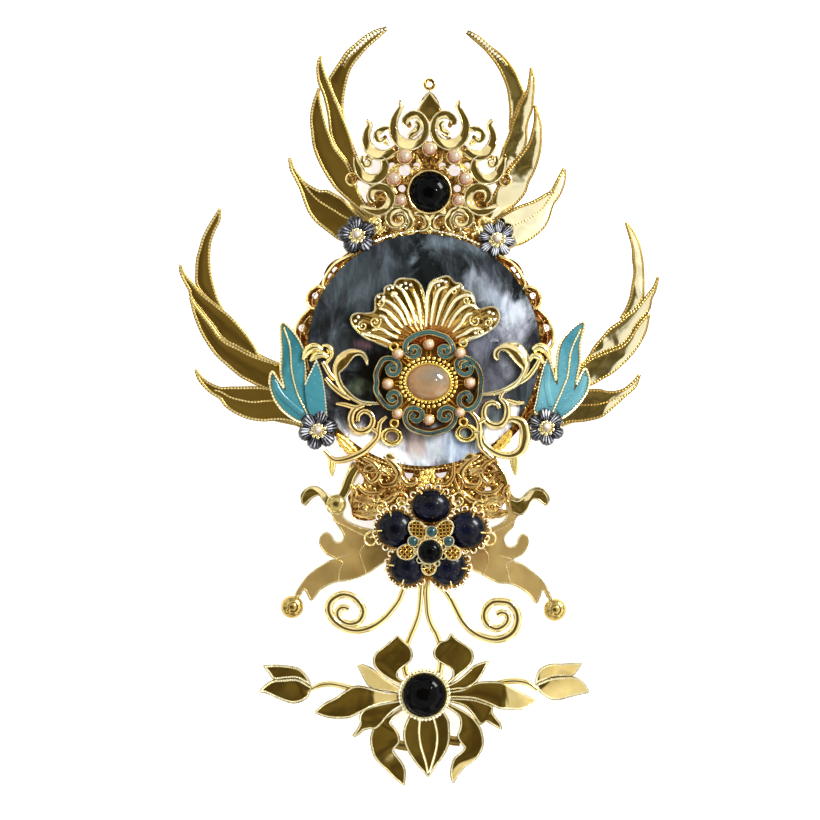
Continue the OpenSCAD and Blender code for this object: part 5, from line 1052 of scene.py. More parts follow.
def medallion():
    """Medallion: four clouds of enamel between wires, a double beaded setting, spokes and cups for its
    pearls."""
    band = Piece("cloud_enamel_bands", [cloud_teal], "teal_enamel", ["cloud_enamel"])
    piece = Piece("medallion_wires", [setting_gold, medal_gold, silvery_gold])
    for cloud in CLOUDS:
        band.sweep(plus(cloud, 0.85), DOMED, MEDAL_Z + 0.75, 0.5, 0, 0.3)
        s = smooth(cloud, 0.3)
        for way in (-1, 1):
            piece.strip(plus(s + left_of_path(s) * way * 0.52, MEDAL_Z + 1.28), 0.34, 0.28, 2)
        piece.sweep(plus(cloud, 1.45), DOMED, MEDAL_Z - 0.1, 0.82, 1, 0.4)
    for x, y, r in MEDAL_PEARLS:
        piece.hoop((x, y), r * 0.85, 0.5, MEDAL_Z + 0.6, 0.6)
        d = np.array([x - MEDAL_C[0], y - MEDAL_C[1]])
        d /= np.hypot(*d)
        a, b = np.array([x, y]) - d * (r + 0.2), np.array(MEDAL_C) + d * 6.4
        for k in (-0.45, 0.45):
            n = np.array([-d[1], d[0]]) * k
            piece.sweep(plus([a + n, (a + b) / 2 + n * 1.3, b + n], 0.4), WIRE, MEDAL_Z + 0.7, 0.5)
    for radii, z, size in (((6.95, 6.05), 8.75, 0.5), ((6.05, 5.1), 9.15, 0.34)):
        count = int(np.pi * sum(radii) / (size * 2.5))
        piece.grains(np.column_stack([plus(ring(MEDAL_C, radii, count), z), np.full(count, size)]))
    piece.hoop(MEDAL_C, (5.6, 4.6), 0.55, MEDAL_Z + 1.2, 0.4, 0, 0.4, 48)
    for centre in MEDAL_CUPS:
        piece.hoop(centre, 0.95, 0.5, MEDAL_Z + 1.1, 0.4, 0, 0.4)
    band.made()
    piece.made()
    fitted = [[x, y, r - 0.12] for x, y, r in MEDAL_PEARLS]
    pearls("medallion_peach_pearls", fitted, 8.6, cream_pearl, "medallion_pearls")
    stone("medallion_oval_cabochon", MEDAL_C, (5.35, 4.35), 8.55, 0.6, 2.5, chalcedony, "oval_stone",
          "peach_stone")


medallion()


# Scroll branches: hooks are two edges of a leaf, the other rows are [x, y, width]

LEFT_HOOK = [
    [[-12.9, 10.3], [-12.9, 11.8], [-13.8, 13.4], [-15.5, 14.2], [-17.5, 14.3], [-19.5, 13.5], [-21, 11.8],
     [-21.7, 9.8], [-21.6, 8], [-20.8, 5.5], [-19, 3], [-16.5, 1.2], [-14, 0.3], [-10, 0.2]],
    [[-13.4, 10.1], [-14, 11.5], [-15, 12.6], [-16.3, 12.3], [-17.3, 11], [-18.2, 9.8], [-19.3, 8.7],
     [-20, 8], [-19.3, 5.7], [-18, 4], [-16, 2.2], [-14, 1.3], [-11.5, 1.1], [-10, 1.1]],
]
LEFT_BRANCH = [
    [[-24.3, 11, 0.9], [-23, 8.8, 1.1], [-22.3, 7.7, 1.1], [-21.2, 6.6, 0.9]],
    [[-23.6, 7, 0.9], [-21.7, 4.8, 1.2], [-19.5, 3, 1.2], [-17.4, 1.8, 1]],
    [[-21, 0.6, 0.6], [-19, 0.4, 1], [-16, -0.3, 1.1], [-14, 0.3, 1]],
    [[-14, 0.3, 0.9], [-16.5, -1, 1.3], [-17.3, -3.5, 1.5], [-16.3, -5.8, 1.5], [-14.3, -6.4, 1.5],
     [-12.3, -5.3, 1.4], [-11.7, -3.3, 1.3], [-12.5, -1.8, 1.2], [-14, -1.3, 1.1], [-15.3, -2.3, 1],
     [-15.5, -3.8, 0.9]],
    [[-8.3, -2.7, 0.8], [-9.8, -4, 1.1], [-10.3, -6, 1.2], [-10.6, -7.8, 1.2], [-12, -9.5, 1.3],
     [-14, -11.3, 1.4], [-17, -12.8, 1.5], [-20, -13.6, 1.4], [-22, -13.2, 1.2], [-24, -11, 0.9]],
    [[-12, -5.6, 1], [-10.6, -6.6, 1]],
]
LEFT_CLUSTER = [
    [[-29.2, 11.6, 0.9], [-28, 13.8, 2.3], [-26.2, 14.7, 2.5], [-24.4, 14, 1.6]],
    [[-27.4, 11.2, 0.9], [-26, 12.6, 2.1], [-24.4, 12.9, 2.1], [-23, 12.2, 1.2]],
    [[-24.4, 15.2, 0.7], [-22.9, 15, 1.3], [-22, 13.8, 1.4], [-22.2, 12.2, 1.2], [-23.4, 10.6, 1.2],
     [-22.6, 9, 0.9]],
    [[-23.3, 14.1, 0.6], [-22.8, 13.4, 0.8], [-23.4, 12.8, 0.6]],
]
LEFT_CURL = [[-20.6, -7, 0.5], [-19.4, -8.6, 1.5], [-17.4, -10.6, 1.5], [-15.6, -11.6, 0.5]]
RIGHT_HOOK = [
    [[19, 11.3], [18.2, 12.3], [18.5, 14], [20, 15.3], [22, 16], [24.5, 15.8], [26.5, 14], [27.3, 12],
     [27.3, 10], [26.5, 8], [25, 5.5], [22.5, 4], [20, 3], [17, 2.6], [14.3, 2.3]],
    [[19.9, 11.6], [19.8, 13], [20.5, 13.9], [21.6, 13.4], [22.8, 12], [24, 10.5], [25, 9.5], [25.5, 9],
     [25.1, 7.7], [24, 6.2], [22, 5], [20, 4.1], [17, 3.5], [14.3, 3.2]],
]
RIGHT_BRANCH = [
    [[29.8, 11.5, 0.9], [28.7, 9.5, 1.1], [27, 7.3, 1.1], [25, 5.8, 1]],
    [[21.5, 4.2, 1], [20.4, 3, 1], [20, 1.8, 1]],
    [[20, 2, 0.9], [21.5, 0.5, 1.3], [21.8, -2, 1.5], [20.8, -4.2, 1.5], [19, -4.9, 1.5], [16.8, -4, 1.5],
     [15.9, -2, 1.4], [16.3, 0, 1.3], [17.8, 0.9, 1.2], [19.3, 0.5, 1], [19.8, -0.6, 0.9]],
    [[21.5, 1.5, 0.8], [24, 0.8, 1], [26, 0.8, 0.6]],
    [[12, -0.7, 0.8], [14, -2.8, 1.2], [14.8, -5, 1.3], [14.8, -8, 1.4], [15.5, -10.5, 1.3],
     [18, -13, 1.1]],
    [[14.6, -4.2, 1], [16.3, -3.2, 1]], [[13.4, -6.7, 1], [15, -6.5, 1]],
    [[21, -4.2, 0.8], [23, -3.3, 1.3], [25.3, -4, 1.9], [26.2, -6, 2.2], [26.2, -8.5, 2.3], [25.3, -11, 2],
     [23, -12.4, 1.7], [20, -12.1, 1.5], [17.5, -10.8, 1.4], [16, -9.3, 1.3], [15.3, -7.5, 1.2]],
]
RIGHT_CLUSTER = [
    [[32.4, 11.6, 0.9], [31.6, 13.8, 2.1], [29.8, 14.8, 2.3], [28.2, 13.9, 1.5]],
    [[30.8, 10.6, 0.9], [29.8, 12.2, 1.9], [28.2, 12.5, 1.7], [27.4, 11.2, 1.1]],
]
RIGHT_CURL = [[22.6, -6, 0.4], [21.6, -8, 1.3], [19.8, -10, 1.2], [18, -10.8, 0.4]]


def branch(node, hook, stems, cluster, curl, spike, foot, metal, arch):
    """Leafy scrolls: a hooked leaf between two edges, rounded stems, a double ring at the foot, a ribbed
    spike, a cluster of thick leaves and a ribbed leaf."""
    piece = Piece(node + "_stems", [metal, bright_gold, bead_gold, setting_gold], stands_for=[node])
    piece.feather(*hook, FACE_Z, 1.0, arch, 0.1, [0, 0.15, 0, 0.15, 0], lip=0.4, lip_finish=2, step=0.4)
    for k, rows in enumerate(stems):
        piece.sweep(np.array(rows) * [1, 1, 1.25], STALK, FACE_Z + 0.02 * k, 1.2, 0, 0.35, taper=0.3)
    for radii, width in (((2.5, 2.1), 0.85), ((1.65, 1.4), 0.55)):
        piece.hoop(foot, radii, width, FACE_Z + 0.1, 1.2, 1, 0.35, 32, DOMED)
    a, b = np.array(spike, float)
    for k in (-1, 0, 1):
        n = np.array([a[1] - b[1], b[0] - a[0]]) * 0.13 * k
        rows = np.column_stack([[a + n * 1.2, (a + b) / 2 + n, b + n * 0.2], [0.85, 0.8, 0.45]])
        piece.sweep(rows, DOMED, FACE_Z, 1.1 if k == 0 else 1.0, 1, 0.35)
    for rows in cluster:
        piece.sweep(rows, DOMED, FACE_Z, 1.3, 1, 0.3, taper=0.4)
    piece.acanthus(curl, FACE_Z + 0.3, 0.9, 4, 3)
    piece.made()


# The left branch takes the darker mirror gold: painted shade
branch("scroll_branch_left", LEFT_HOOK, LEFT_BRANCH, LEFT_CLUSTER, LEFT_CURL,
       ([-22, -13.2], [-22, -17.6]), (-7, -7.6), shaded_mirror_gold, 0.3)
branch("scroll_branch_right", RIGHT_HOOK, RIGHT_BRANCH, RIGHT_CLUSTER, RIGHT_CURL,
       ([23.4, -12.6], [23.9, -17.4]), (11.5, -6.7), mirror_gold, 0.6)


# Enamelled leaves: beaded rims over the trays

LEFT_LEAF = [
    [-34.8, 20.6], [-34.6, 14], [-34.8, 8.5], [-34, 4.6], [-35.4, 6.4], [-37, 8.6], [-37.5, 5.2],
    [-35.5, 0.25], [-31.2, -3.4], [-27, -4.2], [-23.2, -2.6], [-23.6, 1.5], [-24.2, 6.5], [-25.8, 11.1],
    [-27, 9], [-28.5, 6], [-28.5, 10.2], [-29.5, 15.2], [-32.5, 19.5],
]
LEFT_VEIN = [[-34, 19.6], [-32.5, 14.8], [-32, 8.5], [-30.5, 2.8], [-27.8, -2.5]]
LEFT_HIDDEN_VEINS = [[[-36.6, 6.5], [-34.5, 2.5], [-29.5, -2]], [[-26, 9.6], [-26.4, 4], [-27.8, -1]]]
RIGHT_LEAF = [
    [41.1, 20.8], [38.2, 19.6], [35.2, 15.8], [34.2, 11], [34.1, 6.4], [33, 9.5], [32, 12], [30.4, 8],
    [29.2, 1.8], [28.7, -1.4], [31.6, -3.2], [35, -3.2], [38.5, -0.75], [41.5, 3], [42.3, 6.5], [41.2, 9.3],
    [39.1, 5.4], [40, 11], [40, 15.2],
]
RIGHT_VEIN = [[40.2, 19.2], [37.9, 14], [37, 7.8], [35.8, 4.5], [33.2, -1.5]]
RIGHT_HIDDEN_VEINS = [[[41.3, 7.5], [39.5, 3], [34.6, -1.4]], [[31.8, 10.4], [31.8, 5], [32.8, 0]]]
# The left leaf's third lobe: its two edges
LOBE = [
    [[-25.8, 11.3], [-25, 9.2], [-24.3, 6.6], [-23.8, 3.5], [-23.6, 1.5], [-23.3, -2.6]],
    [[-26, 11.2], [-27, 9], [-28, 7], [-28.7, 5.2], [-28.5, 2], [-28, -0.6], [-27.4, -2.6]],
]


def leaf_rims(name, outline, vein):
    """Milgrain along a leaf's outline outside the disc and along its middle vein, over a smooth lip."""
    piece = Piece(name, [bead_gold, bright_gold])
    edge = smooth(outline, 0.25, True)
    outside = np.hypot(edge[:, 0] - DISC_X, edge[:, 1] - DISC_Y) > DISC_R
    piece.strip(plus(edge, ENAMEL_Z)[outside], 0.6, 0.5, 1)
    piece.rope(plus(edge, ENAMEL_Z + 0.35)[outside], 0, 0.34, 0.8)
    piece.sweep(plus(vein, 0.6), DOMED, ENAMEL_Z - 0.15, 0.4, 1, 0.4)
    piece.rope(vein, ENAMEL_Z + 0.25, 0.3, 0.8)
    piece.made()


def leaf_enamel(side, finish, veins, lobe=None):
    """Enamel drawn over a tray's short veins, and for the left leaf its third lobe, which lies on the
    disc's edge."""
    piece = Piece("enamel_leaf_" + side + "_lobes", [finish, bead_gold], "teal_enamel")
    for vein in veins:
        piece.sweep(plus(vein, 1.5), DOMED, ENAMEL_Z - 0.05, 0.34, 0, 0.4)
    if lobe:
        piece.feather(*lobe, FACE_Z + 0.05, 0.35, 0.1, -0.08, lip=0, step=0.5)
        piece.rope(plus(lobe[1][3::-1] + lobe[0], FACE_Z + 0.6), 0, 0.32, 0.8, 1)
    piece.made()


leaf_rims("enamel_leaf_left_milgrain", LEFT_LEAF, LEFT_VEIN)
leaf_rims("enamel_leaf_right_milgrain", RIGHT_LEAF, RIGHT_VEIN)
leaf_enamel("left", leaf_teal, LEFT_HIDDEN_VEINS, LOBE)
leaf_enamel("right", pale_teal, RIGHT_HIDDEN_VEINS)


# Filigree below the disc, on the right of its axis; the left is its mirror image

FILIGREE_X = 2.5
FILIGREE_STALKS = [
    [[14.5, -12.5, 1.2], [12, -14.2, 1.8], [10.2, -16.8, 2.2], [11.4, -19.4, 2], [14.4, -19.8, 1.5],
     [15.4, -18, 1]],
    [[19, -13, 1.2], [16.5, -14.5, 1.6], [15.2, -17, 1.8], [17, -19, 1.4], [18.6, -17.6, 0.9]],
    [[8.4, -14, 0.9], [8.3, -17.5, 1.4], [6.6, -19.6, 1.6], [4.4, -19.2, 1.2], [4.6, -18, 0.8]],
    [[20, -22.4, 1.4], [17, -24.2, 2], [13, -23.6, 2], [10.4, -21.4, 1.4]],
    [[20.8, -19.5, 1], [18.6, -21.6, 1.5], [15.4, -21.8, 1.4], [13.6, -20.8, 0.9]],
    [[11, -22.4, 1], [9.4, -20.4, 1.2], [8.6, -18, 1]],
    spiral([17.8, -25.2], 1.7, 0.5, 60, 1.4, 0.9, 0.6),
    spiral([14.6, -26.4], 1.5, 0.4, 200, -1.3, 0.8, 0.5),
    [[11.5, -27.2, 0.8], [14, -27.6, 1], [17, -27, 1], [19.4, -25.4, 0.7]],
]
# The stalk beside the drop stands further out on the left
DROP_STALK, DROP_STALK_OUT = 2, 1.5
FILIGREE_LEAVES = [
    [[22, -23, 0.5], [20, -23.2, 1.3], [17.5, -23.6, 1.2], [16, -24.5, 0.4]],
    [[22, -26.5, 0.6], [18.5, -27, 1.4], [15.5, -26.4, 1.2], [13, -25.5, 0.4]],
    [[22.4, -19.6, 0.4], [21.4, -21.2, 1.1], [21.6, -23, 1], [22.2, -25, 0.4]],
    [[18, -16.5, 0.4], [15, -16.2, 1.3], [12.6, -17.4, 0.4]],
    [[9.6, -17, 0.3], [10.4, -19, 1], [10, -21.4, 0.4]],
]
# Pointed leaves: x, y, angle, size
FILIGREE_POINTS = [
    (12.6, -12.6, 200, 1.6), (17.8, -15.6, 160, 1.5), (9.4, -24.6, 250, 1.5), (19.4, -23.8, 300, 1.3),
    (6.6, -22.6, 240, 1.2), (13.4, -16.6, 30, 1.3), (16, -22.8, 90, 1.2),
]
# Openings and the drop, where no grain lies: x from the axis, y, radius
FILIGREE_HOLES = [(-5.25, -16.5, 1.9), (2.75, -16.25, 2.1), (-15.1, -22.4, 1.2), (14.5, -21, 1.2)]
# Beaded arcs round the disc: radius, height, bead, first and last angle
FILIGREE_ARCS = [
    (29.9, 6.1, 0.4, 232, 308), (31, 6.2, 0.45, 232, 259), (32.1, 6, 0.4, 232, 259),
    (31, 6.2, 0.45, 283, 308), (32.1, 6, 0.4, 283, 308),
]


def filigree_side(piece, s):
    """One side of the filigree: stalks, curled leaves and small pointed leaves."""
    for k, rows in enumerate(FILIGREE_STALKS):
        p = sided(rows, FILIGREE_X, s)
        if s < 0 and k == DROP_STALK:
            p[:, 0] -= DROP_STALK_OUT
        piece.sweep(p, STALK, 5.3, 1.35, 0, 0.4, taper=0.35)
    for rows in FILIGREE_LEAVES:
        piece.acanthus(sided(rows, FILIGREE_X, s), 5.9, 0.9, 3)
    for x, y, turn, size in FILIGREE_POINTS:
        edges = lozenge((x, y), turn, 1.6 * size, 0.75 * size, size)
        edges = [sided(edge, FILIGREE_X, s) for edge in edges[::s]]
        piece.feather(*edges, 5.5, 0.8, 0.5, lip=0.25, step=0.5)


def filigree():
    """Cast filigree: curled leaves with raised edges, a drop of grains under the disc and beaded arcs
    along its rim."""
    piece = Piece("lower_filigree_relief", [cast_gold, bead_gold, setting_gold])
    for s in (-1, 1):
        filigree_side(piece, s)
    dice = np.random.default_rng(11)
    count = 110
    x, y = dice.uniform(-17, 17, count), dice.uniform(-28, -9, count)
    on_web = np.hypot(x + FILIGREE_X - DISC_X, y - DISC_Y) > DISC_R + 0.2
    on_web &= (np.abs(x) < 17.6 + (y + 28) * 0.02) & (np.hypot(x, y + 36) > 9)
    for hole_x, hole_y, r in FILIGREE_HOLES:
        on_web &= np.hypot(x - hole_x, y - hole_y) > r
    z, size = dice.uniform(5.6, 6.2, count), dice.uniform(0.26, 0.5, count)
    piece.grains(np.column_stack([x + FILIGREE_X, y, z, size])[on_web], 2)
    count = 60
    x, y = dice.uniform(-1.9, 1.9, count), dice.uniform(-21, -15.6, count)
    z = dice.uniform(6.1, 6.6, count)
    piece.grains(np.column_stack([x * 0.9 + 1.6, y - 0.6, z, np.full(count, 0.45)]), 2)
    for r, z, size, first, last in FILIGREE_ARCS:
        piece.rope(disc_arc(r, first, last), z, size, size * 2.4)
    piece.made()


filigree()


# The back plate's rim, on its left side; the right is its mirror image

PLATE_ARCS = [
    [[-14.4, 39.4], [-17.6, 37.6], [-20.8, 35.9], [-23.1, 33.2], [-24.2, 30.4], [-23.6, 29.2]],
    [[-24.2, 29.6], [-25.6, 29.9], [-27.4, 28.9], [-28.3, 26.8], [-27.6, 24.8], [-26.4, 24.4]],
    [[-27.4, 24.4], [-29.8, 22], [-31.2, 19], [-31.2, 15.6], [-29.6, 13.4]],
]
PLATE_LEAVES = [(-21.6, 32.4, 60), (-28.6, 18.6, 95), (-25.4, 26.4, 70)]


def plate_rims():
    """Raised wires round the back plate's scallops, and leafy fillings in them."""
    piece = Piece("back_plate_scallop_rims", [bright_gold, relief_gold])
    for sign in (1, -1):
        for arc in PLATE_ARCS:
            rows = sided(arc, DISC_X, sign)
            piece.sweep(plus(rows, 0.95), DOMED, 4.6, 1.2)
            inner = rows + (np.array([DISC_X, DISC_Y]) - rows) * 0.045
            piece.rope(inner, 5.35, 0.28, 0.7, 1)
        for x, y, turn in PLATE_LEAVES:
            edges = [sided(edge, DISC_X, sign) for edge in lozenge((x, y), turn, 1.8, 0.7, 1.8)]
            piece.feather(*edges, 4.7, 0.5, 0.3, finish=1, lip=0.25, step=0.5)
    piece.made()


plate_rims()


# The large flower

FLOWER_C = (2.5, -36.25)
GOLDSTONES = {
    "top": [2.75, -25, 4.75, 4], "upper_left": [-6, -30.75, 4.5, 4.5], "upper_right": [11.75, -31, 4.5, 4.5],
    "lower_left": [-3, -40, 4.5, 4.5], "lower_right": [7, -40.25, 4.5, 4.5],
}
# Mesh petals: x, y, half length, half width, angle
MESH_PETALS = [
    [-0.6, -30.9, 2.6, 1.9, 131], [6.0, -30.9, 2.7, 1.95, 51], [-3.2, -36.4, 2.4, 1.85, 180],
    [8.1, -36.6, 2.0, 1.8, 0], [2.2, -40.2, 1.8, 1.8, -92],
]
TEAL_STONES = {"top": [2.9, -31.3, 1.2], "left": [-1.7, -33.7, 1.1], "right": [7.1, -33.7, 1.1]}
# Curls beside the flower: distance from its axis, y, first and last radius, start angle's lean, turns
FLOWER_CURLS = [
    (7.2, -23.6, 2.2, 0.7, -60, 1.2), (12.2, -25.4, 1.8, 0.5, -40, 1.3), (14.6, -33.4, 2.0, 0.6, 0, -1.1),
]
SKIRT_R, MESH_PITCH = 0.72, 0.9


def setting(piece, x, y, rx, ry):
    """One stone's setting: a smooth collar, a skirt of small hoops outside the flower's middle and two
    claws that rise towards the stone."""
    piece.hoop((x, y), (rx + 0.3, ry + 0.3), 0.35, SETTING_Z + 0.7, 0.6, 1, count=40)
    skirt = ring((x, y), (rx + SKIRT_R, ry + SKIRT_R), 15)
    for lobe in skirt[np.hypot(*(skirt - np.array(FLOWER_C)).T) > 7.4]:
        piece.hoop(lobe, SKIRT_R, 0.42, SETTING_Z + 0.5, 0.5, 2, 0.4, 12)
    centre = np.array([x, y])
    away = centre - np.array(FLOWER_C)
    bearing = np.degrees(np.arctan2(away[1], away[0]))
    for turn in (-38, 38):
        claw = [centre + unit(bearing + turn) * (rx + out) for out in (0.3, -0.4, -1.0)]
        piece.sweep(plus(claw, 0.5), DOMED, STONE_Z + 0.6, 0.8, 0, 0.3, rise=[0, 0.5, 1.0])


def flower():
    """Gold petals behind the dark stones: a setting round each stone and curls beside them."""
    piece = Piece("flower_setting_beading", [bright_gold, relief_gold, bead_gold])
    for values in GOLDSTONES.values():
        setting(piece, *values)
    for s in (-1, 1):
        for x, y, r_out, r_in, lean, turns in FLOWER_CURLS:
            rows = spiral([FLOWER_C[0] + s * x, y], r_out, r_in, 90 + s * lean, s * turns, 0.7, 0.5)
            piece.sweep(rows, DOMED, SETTING_Z + 0.3, 0.7, 0, 0.35)
    piece.made()
    for key, (x, y, rx, ry) in GOLDSTONES.items():
        stone("goldstone_cabochon_" + key, (x, y), (rx + 0.15, ry + 0.15), STONE_Z, 0.4, 2.6, goldstone,
              "goldstone_" + key, "goldstone")


def woven(piece, centre, axis, rx, ry):
    """Two families of wires that cross inside a petal's rim, each passing over and under the other by
    turns."""
    cross = np.array([-axis[1], axis[0]])
    along = np.linspace(-4, 4, 81)
    for side in (1, -1):
        d = np.cos(np.pi / 4) * axis + np.sin(side * np.pi / 4) * cross
        n = np.array([-d[1], d[0]])
        for k in np.arange(-2.5, 3) * MESH_PITCH:
            line = centre + n * k + along[:, None] * d
            u, v = (line - centre) @ axis / rx, (line - centre) @ cross / ry
            inside = u ** 2 + (v / (1 - 0.28 * np.clip(-u, 0, 1) ** 2)) ** 2 < 0.96
            if inside.sum() < 6:
                continue
            lift = 0.1 * side * np.cos((along + k) / MESH_PITCH * np.pi)
            rows = np.column_stack([line, MESH_Z + 0.35 + lift])[inside]
            piece.strip(rows[::2], 0.22, 0.24, 1)


def petal(piece, x, y, rx, ry, turn):
    """A petal of woven wire: a rim pinched towards its root, a thin sheet behind, and a stem to the hub."""
    centre, axis = np.array([x, y]), unit(turn)
    t = np.arange(36) * TAU / 36
    pinch = 1 - 0.28 * np.clip(-np.cos(t), 0, 1) ** 2
    rim = centre + np.outer(rx * np.cos(t), axis) + np.outer(ry * pinch * np.sin(t), unit(turn + 90))
    piece.sweep(plus(rim, 0.5), WIRE, MESH_Z, 0.65, 0, 0.4, True)
    piece.slab(centre + (rim - centre) * 0.96, MESH_Z, 0.12, 3)
    root, hub = centre - axis * rx, np.array(FLOWER_C)
    stem = [root, (root + hub) / 2, hub + (root - hub) * 0.2]
    piece.sweep(plus(stem, 0.9), DOMED, MESH_Z - 0.2, 0.7, 1, 0.4)
    woven(piece, centre, axis, rx, ry)


def mesh_flower():
    """Five petals of woven wire round a hub, with beaded hoops, the middle stone and three small stones."""
    finishes = [bead_gold, setting_gold, ground_gold, medal_gold]
    piece = Piece("mesh_flower_petals", finishes, stands_for=["mesh_flower"])
    for values in MESH_PETALS:
        petal(piece, *values)
    hub = [[0.05, MESH_Z + 0.6], [0.9, MESH_Z + 0.6], [1, MESH_Z + 0.4], [1, MESH_Z], [0.5, MESH_Z - 0.1],
           [0.5, STONE_Z], [0.05, STONE_Z]]
    piece.turned((2.5, -35.0), 3.2, hub, 2, 32)
    for centre in ring(FLOWER_C, 3.35, 9, TAU / 18):
        piece.hoop(centre, 0.72, 0.4, MESH_Z + 0.45, 0.55, 0, 0.35, 12)
    piece.hoop(FLOWER_C, 3.05, 0.45, MESH_Z + 0.6, 0.8, 0, 0.4, 32)
    cup = [[0.05, MESH_Z + 0.7], [0.95, MESH_Z + 0.7], [1, MESH_Z + 0.1], [0.05, MESH_Z + 0.1]]
    for x, y, r in TEAL_STONES.values():
        piece.hoop((x, y), r + 0.15, 0.4, MESH_Z + 0.55, 0.6, 0, 0.3)
        piece.turned((x, y), r + 0.5, cup, 2, 20)
    piece.made()
    stone("flower_centre_cabochon", FLOWER_C, 2.75, SEAT_Z, 0.4, 1.6, agate, "flower_centre_stone",
          "black_stone")
    for key, (x, y, r) in TEAL_STONES.items():
        stone("teal_cabochon_" + key, (x, y), r, SEAT_Z, 0.2, 0.8, bead_teal, "teal_stone_" + key,
              "teal_glass")


flower()
mesh_flower()


# Sprays, wires and buds

LEFT_SPRAY = [
    [-16.9, -14], [-18.2, -16.5], [-19.5, -19.5], [-20.5, -22.2], [-22, -22.5], [-23.2, -22],
    [-24.5, -20.8], [-26.2, -20], [-28, -20.3], [-29.6, -21.5], [-30, -23.2], [-28.9, -25.1],
    [-27.8, -24.2], [-26.8, -23], [-25.5, -22.5], [-24.5, -23.5], [-23.6, -25.5], [-22.2, -27.2],
    [-21.5, -28.8], [-20.1, -30.6], [-19.1, -32.5], [-19.7, -33.8], [-21.2, -34], [-22.2, -32.4],
    [-23.6, -31.5], [-25.1, -32.8], [-25.2, -34.8], [-23.6, -37], [-21.4, -38.2], [-24, -39.3],
    [-28, -42.2], [-30.2, -45], [-31.4, -47.5], [-30.1, -47.7], [-29, -45.9], [-28, -47.6], [-27, -48.8],
    [-25, -46.2], [-21.5, -44.3], [-17, -43.5], [-12.5, -41.7], [-8.5, -39], [-3.6, -38.2], [-1.6, -36.6],
    [-3, -34.4], [-6.5, -32.5], [-10.5, -31.2], [-15.5, -30], [-19, -28], [-19, -25.5], [-18.6, -23],
    [-17, -20.2], [-15.8, -18], [-14.7, -15.8],
]
RIGHT_SPRAY = [
    [19.2, -13.8], [20.4, -15.6], [21.6, -17.6], [22.4, -20], [23.2, -22.2], [24.8, -23.1], [25.8, -22.4],
    [27, -21.2], [28.6, -20.4], [30.4, -20.4], [32, -21.8], [32.6, -23.6], [31.5, -25.1], [30.6, -24.2],
    [29.4, -23.3], [27.9, -23.7], [27, -25.2], [26, -26.9], [24.6, -27.6], [24, -28.6], [23.4, -30.3],
    [22.1, -31.6], [21.1, -33.3], [22, -35], [23.9, -34.9], [24.6, -33], [25.7, -31.9], [27.1, -32.8],
    [27.2, -34.8], [25.9, -37.1], [23.4, -38.5], [26.2, -39.8], [30.2, -43], [32.2, -46], [33.1, -48.2],
    [32, -48.3], [30.8, -46.2], [30, -48], [29, -49.5], [27, -47], [23.2, -44.8], [19.2, -44.2],
    [14.6, -41.8], [9.5, -39.4], [6.6, -37.4], [7, -34.6], [11, -32.6], [15.5, -31], [19.5, -29.8],
    [21.4, -28], [21.6, -25.5], [21, -22], [20, -18.4], [18.2, -15.2],
]
LEFT_SEAMS = [
    [[-21.4, -38.2], [-19.4, -39.2], [-20.2, -41.4], [-20.4, -44.2]],
    [[-13.4, -34], [-15, -36.5], [-14.6, -38.8], [-13.4, -42]],
    [[-21.8, -28.6], [-19.4, -29.8], [-14, -32.4], [-10, -33.2]], [[-21.4, -38.2], [-18, -37.2]],
]
RIGHT_SEAMS = [
    [[23.4, -38.5], [21.6, -39.6], [22, -41.6], [22.6, -44.8]],
    [[15.5, -35], [17, -37.5], [16.8, -40], [15.6, -42.4]],
    [[23.6, -28.6], [21.4, -30], [16, -32.6], [12.4, -33.2]], [[23.4, -38.5], [20, -37.4]],
]
LEFT_ARM = [[-16, -15.4, 1.8], [-17.4, -17.6, 2.1], [-18.5, -20.6, 2.2], [-19.6, -22.6, 2]]
RIGHT_ARM = [[18.9, -14.6, 1.4], [20.4, -17.2, 1.8], [21.3, -20, 2], [21.8, -22.6, 1.8]]
# The curled tip over each spray: its two edges
LEFT_TIP = [
    [[-29.6, -24.6], [-29.8, -23], [-28.7, -20.9], [-26.5, -20], [-24.5, -20.8], [-22.7, -22.5],
     [-21.6, -24]],
    [[-28.6, -24.8], [-27.6, -23.6], [-26.2, -22.7], [-25.1, -22.6], [-24, -24.4], [-23, -26.3],
     [-22.2, -27]],
]
RIGHT_TIP = [
    [[32.2, -24], [31.8, -22.2], [30.3, -20.9], [28.2, -20.9], [26.4, -22.4], [24.5, -23.6],
     [22.6, -23.2]],
    [[31.2, -24.8], [30.3, -24.2], [29, -23.4], [27.7, -24.2], [26.8, -26], [25.3, -27.4], [23.2, -26.8]],
]


def side_of(loop):
    """One where a loop runs clockwise and minus one where it runs the other way, by its area's sign."""
    x, y = loop.T
    return -np.sign(np.sum(x * np.roll(y, -1) - y * np.roll(x, -1)))


def finial(piece, x, y):
    """A ball with a groove round its top: its radius is less where the groove passes; a hoop lies on it."""
    t = np.linspace(0.04, np.pi - 0.04, 26)[:, None]
    a = np.arange(48) * TAU / 48
    r = 2.9 * (1 - 0.08 * np.exp(-((t - 0.62 - 0.05 * np.sin(a)) / 0.12) ** 2))
    ball = [x + r * np.sin(t) * np.cos(a), y + r * np.sin(t) * np.sin(a), 4.2 + r * 0.8 * np.cos(t)]
    piece.grid(np.stack(ball, -1), 3)
    piece.hoop((x + 0.2, y), 1.25, 0.4, 6.0, 0.5, 3, 0.35, 24)


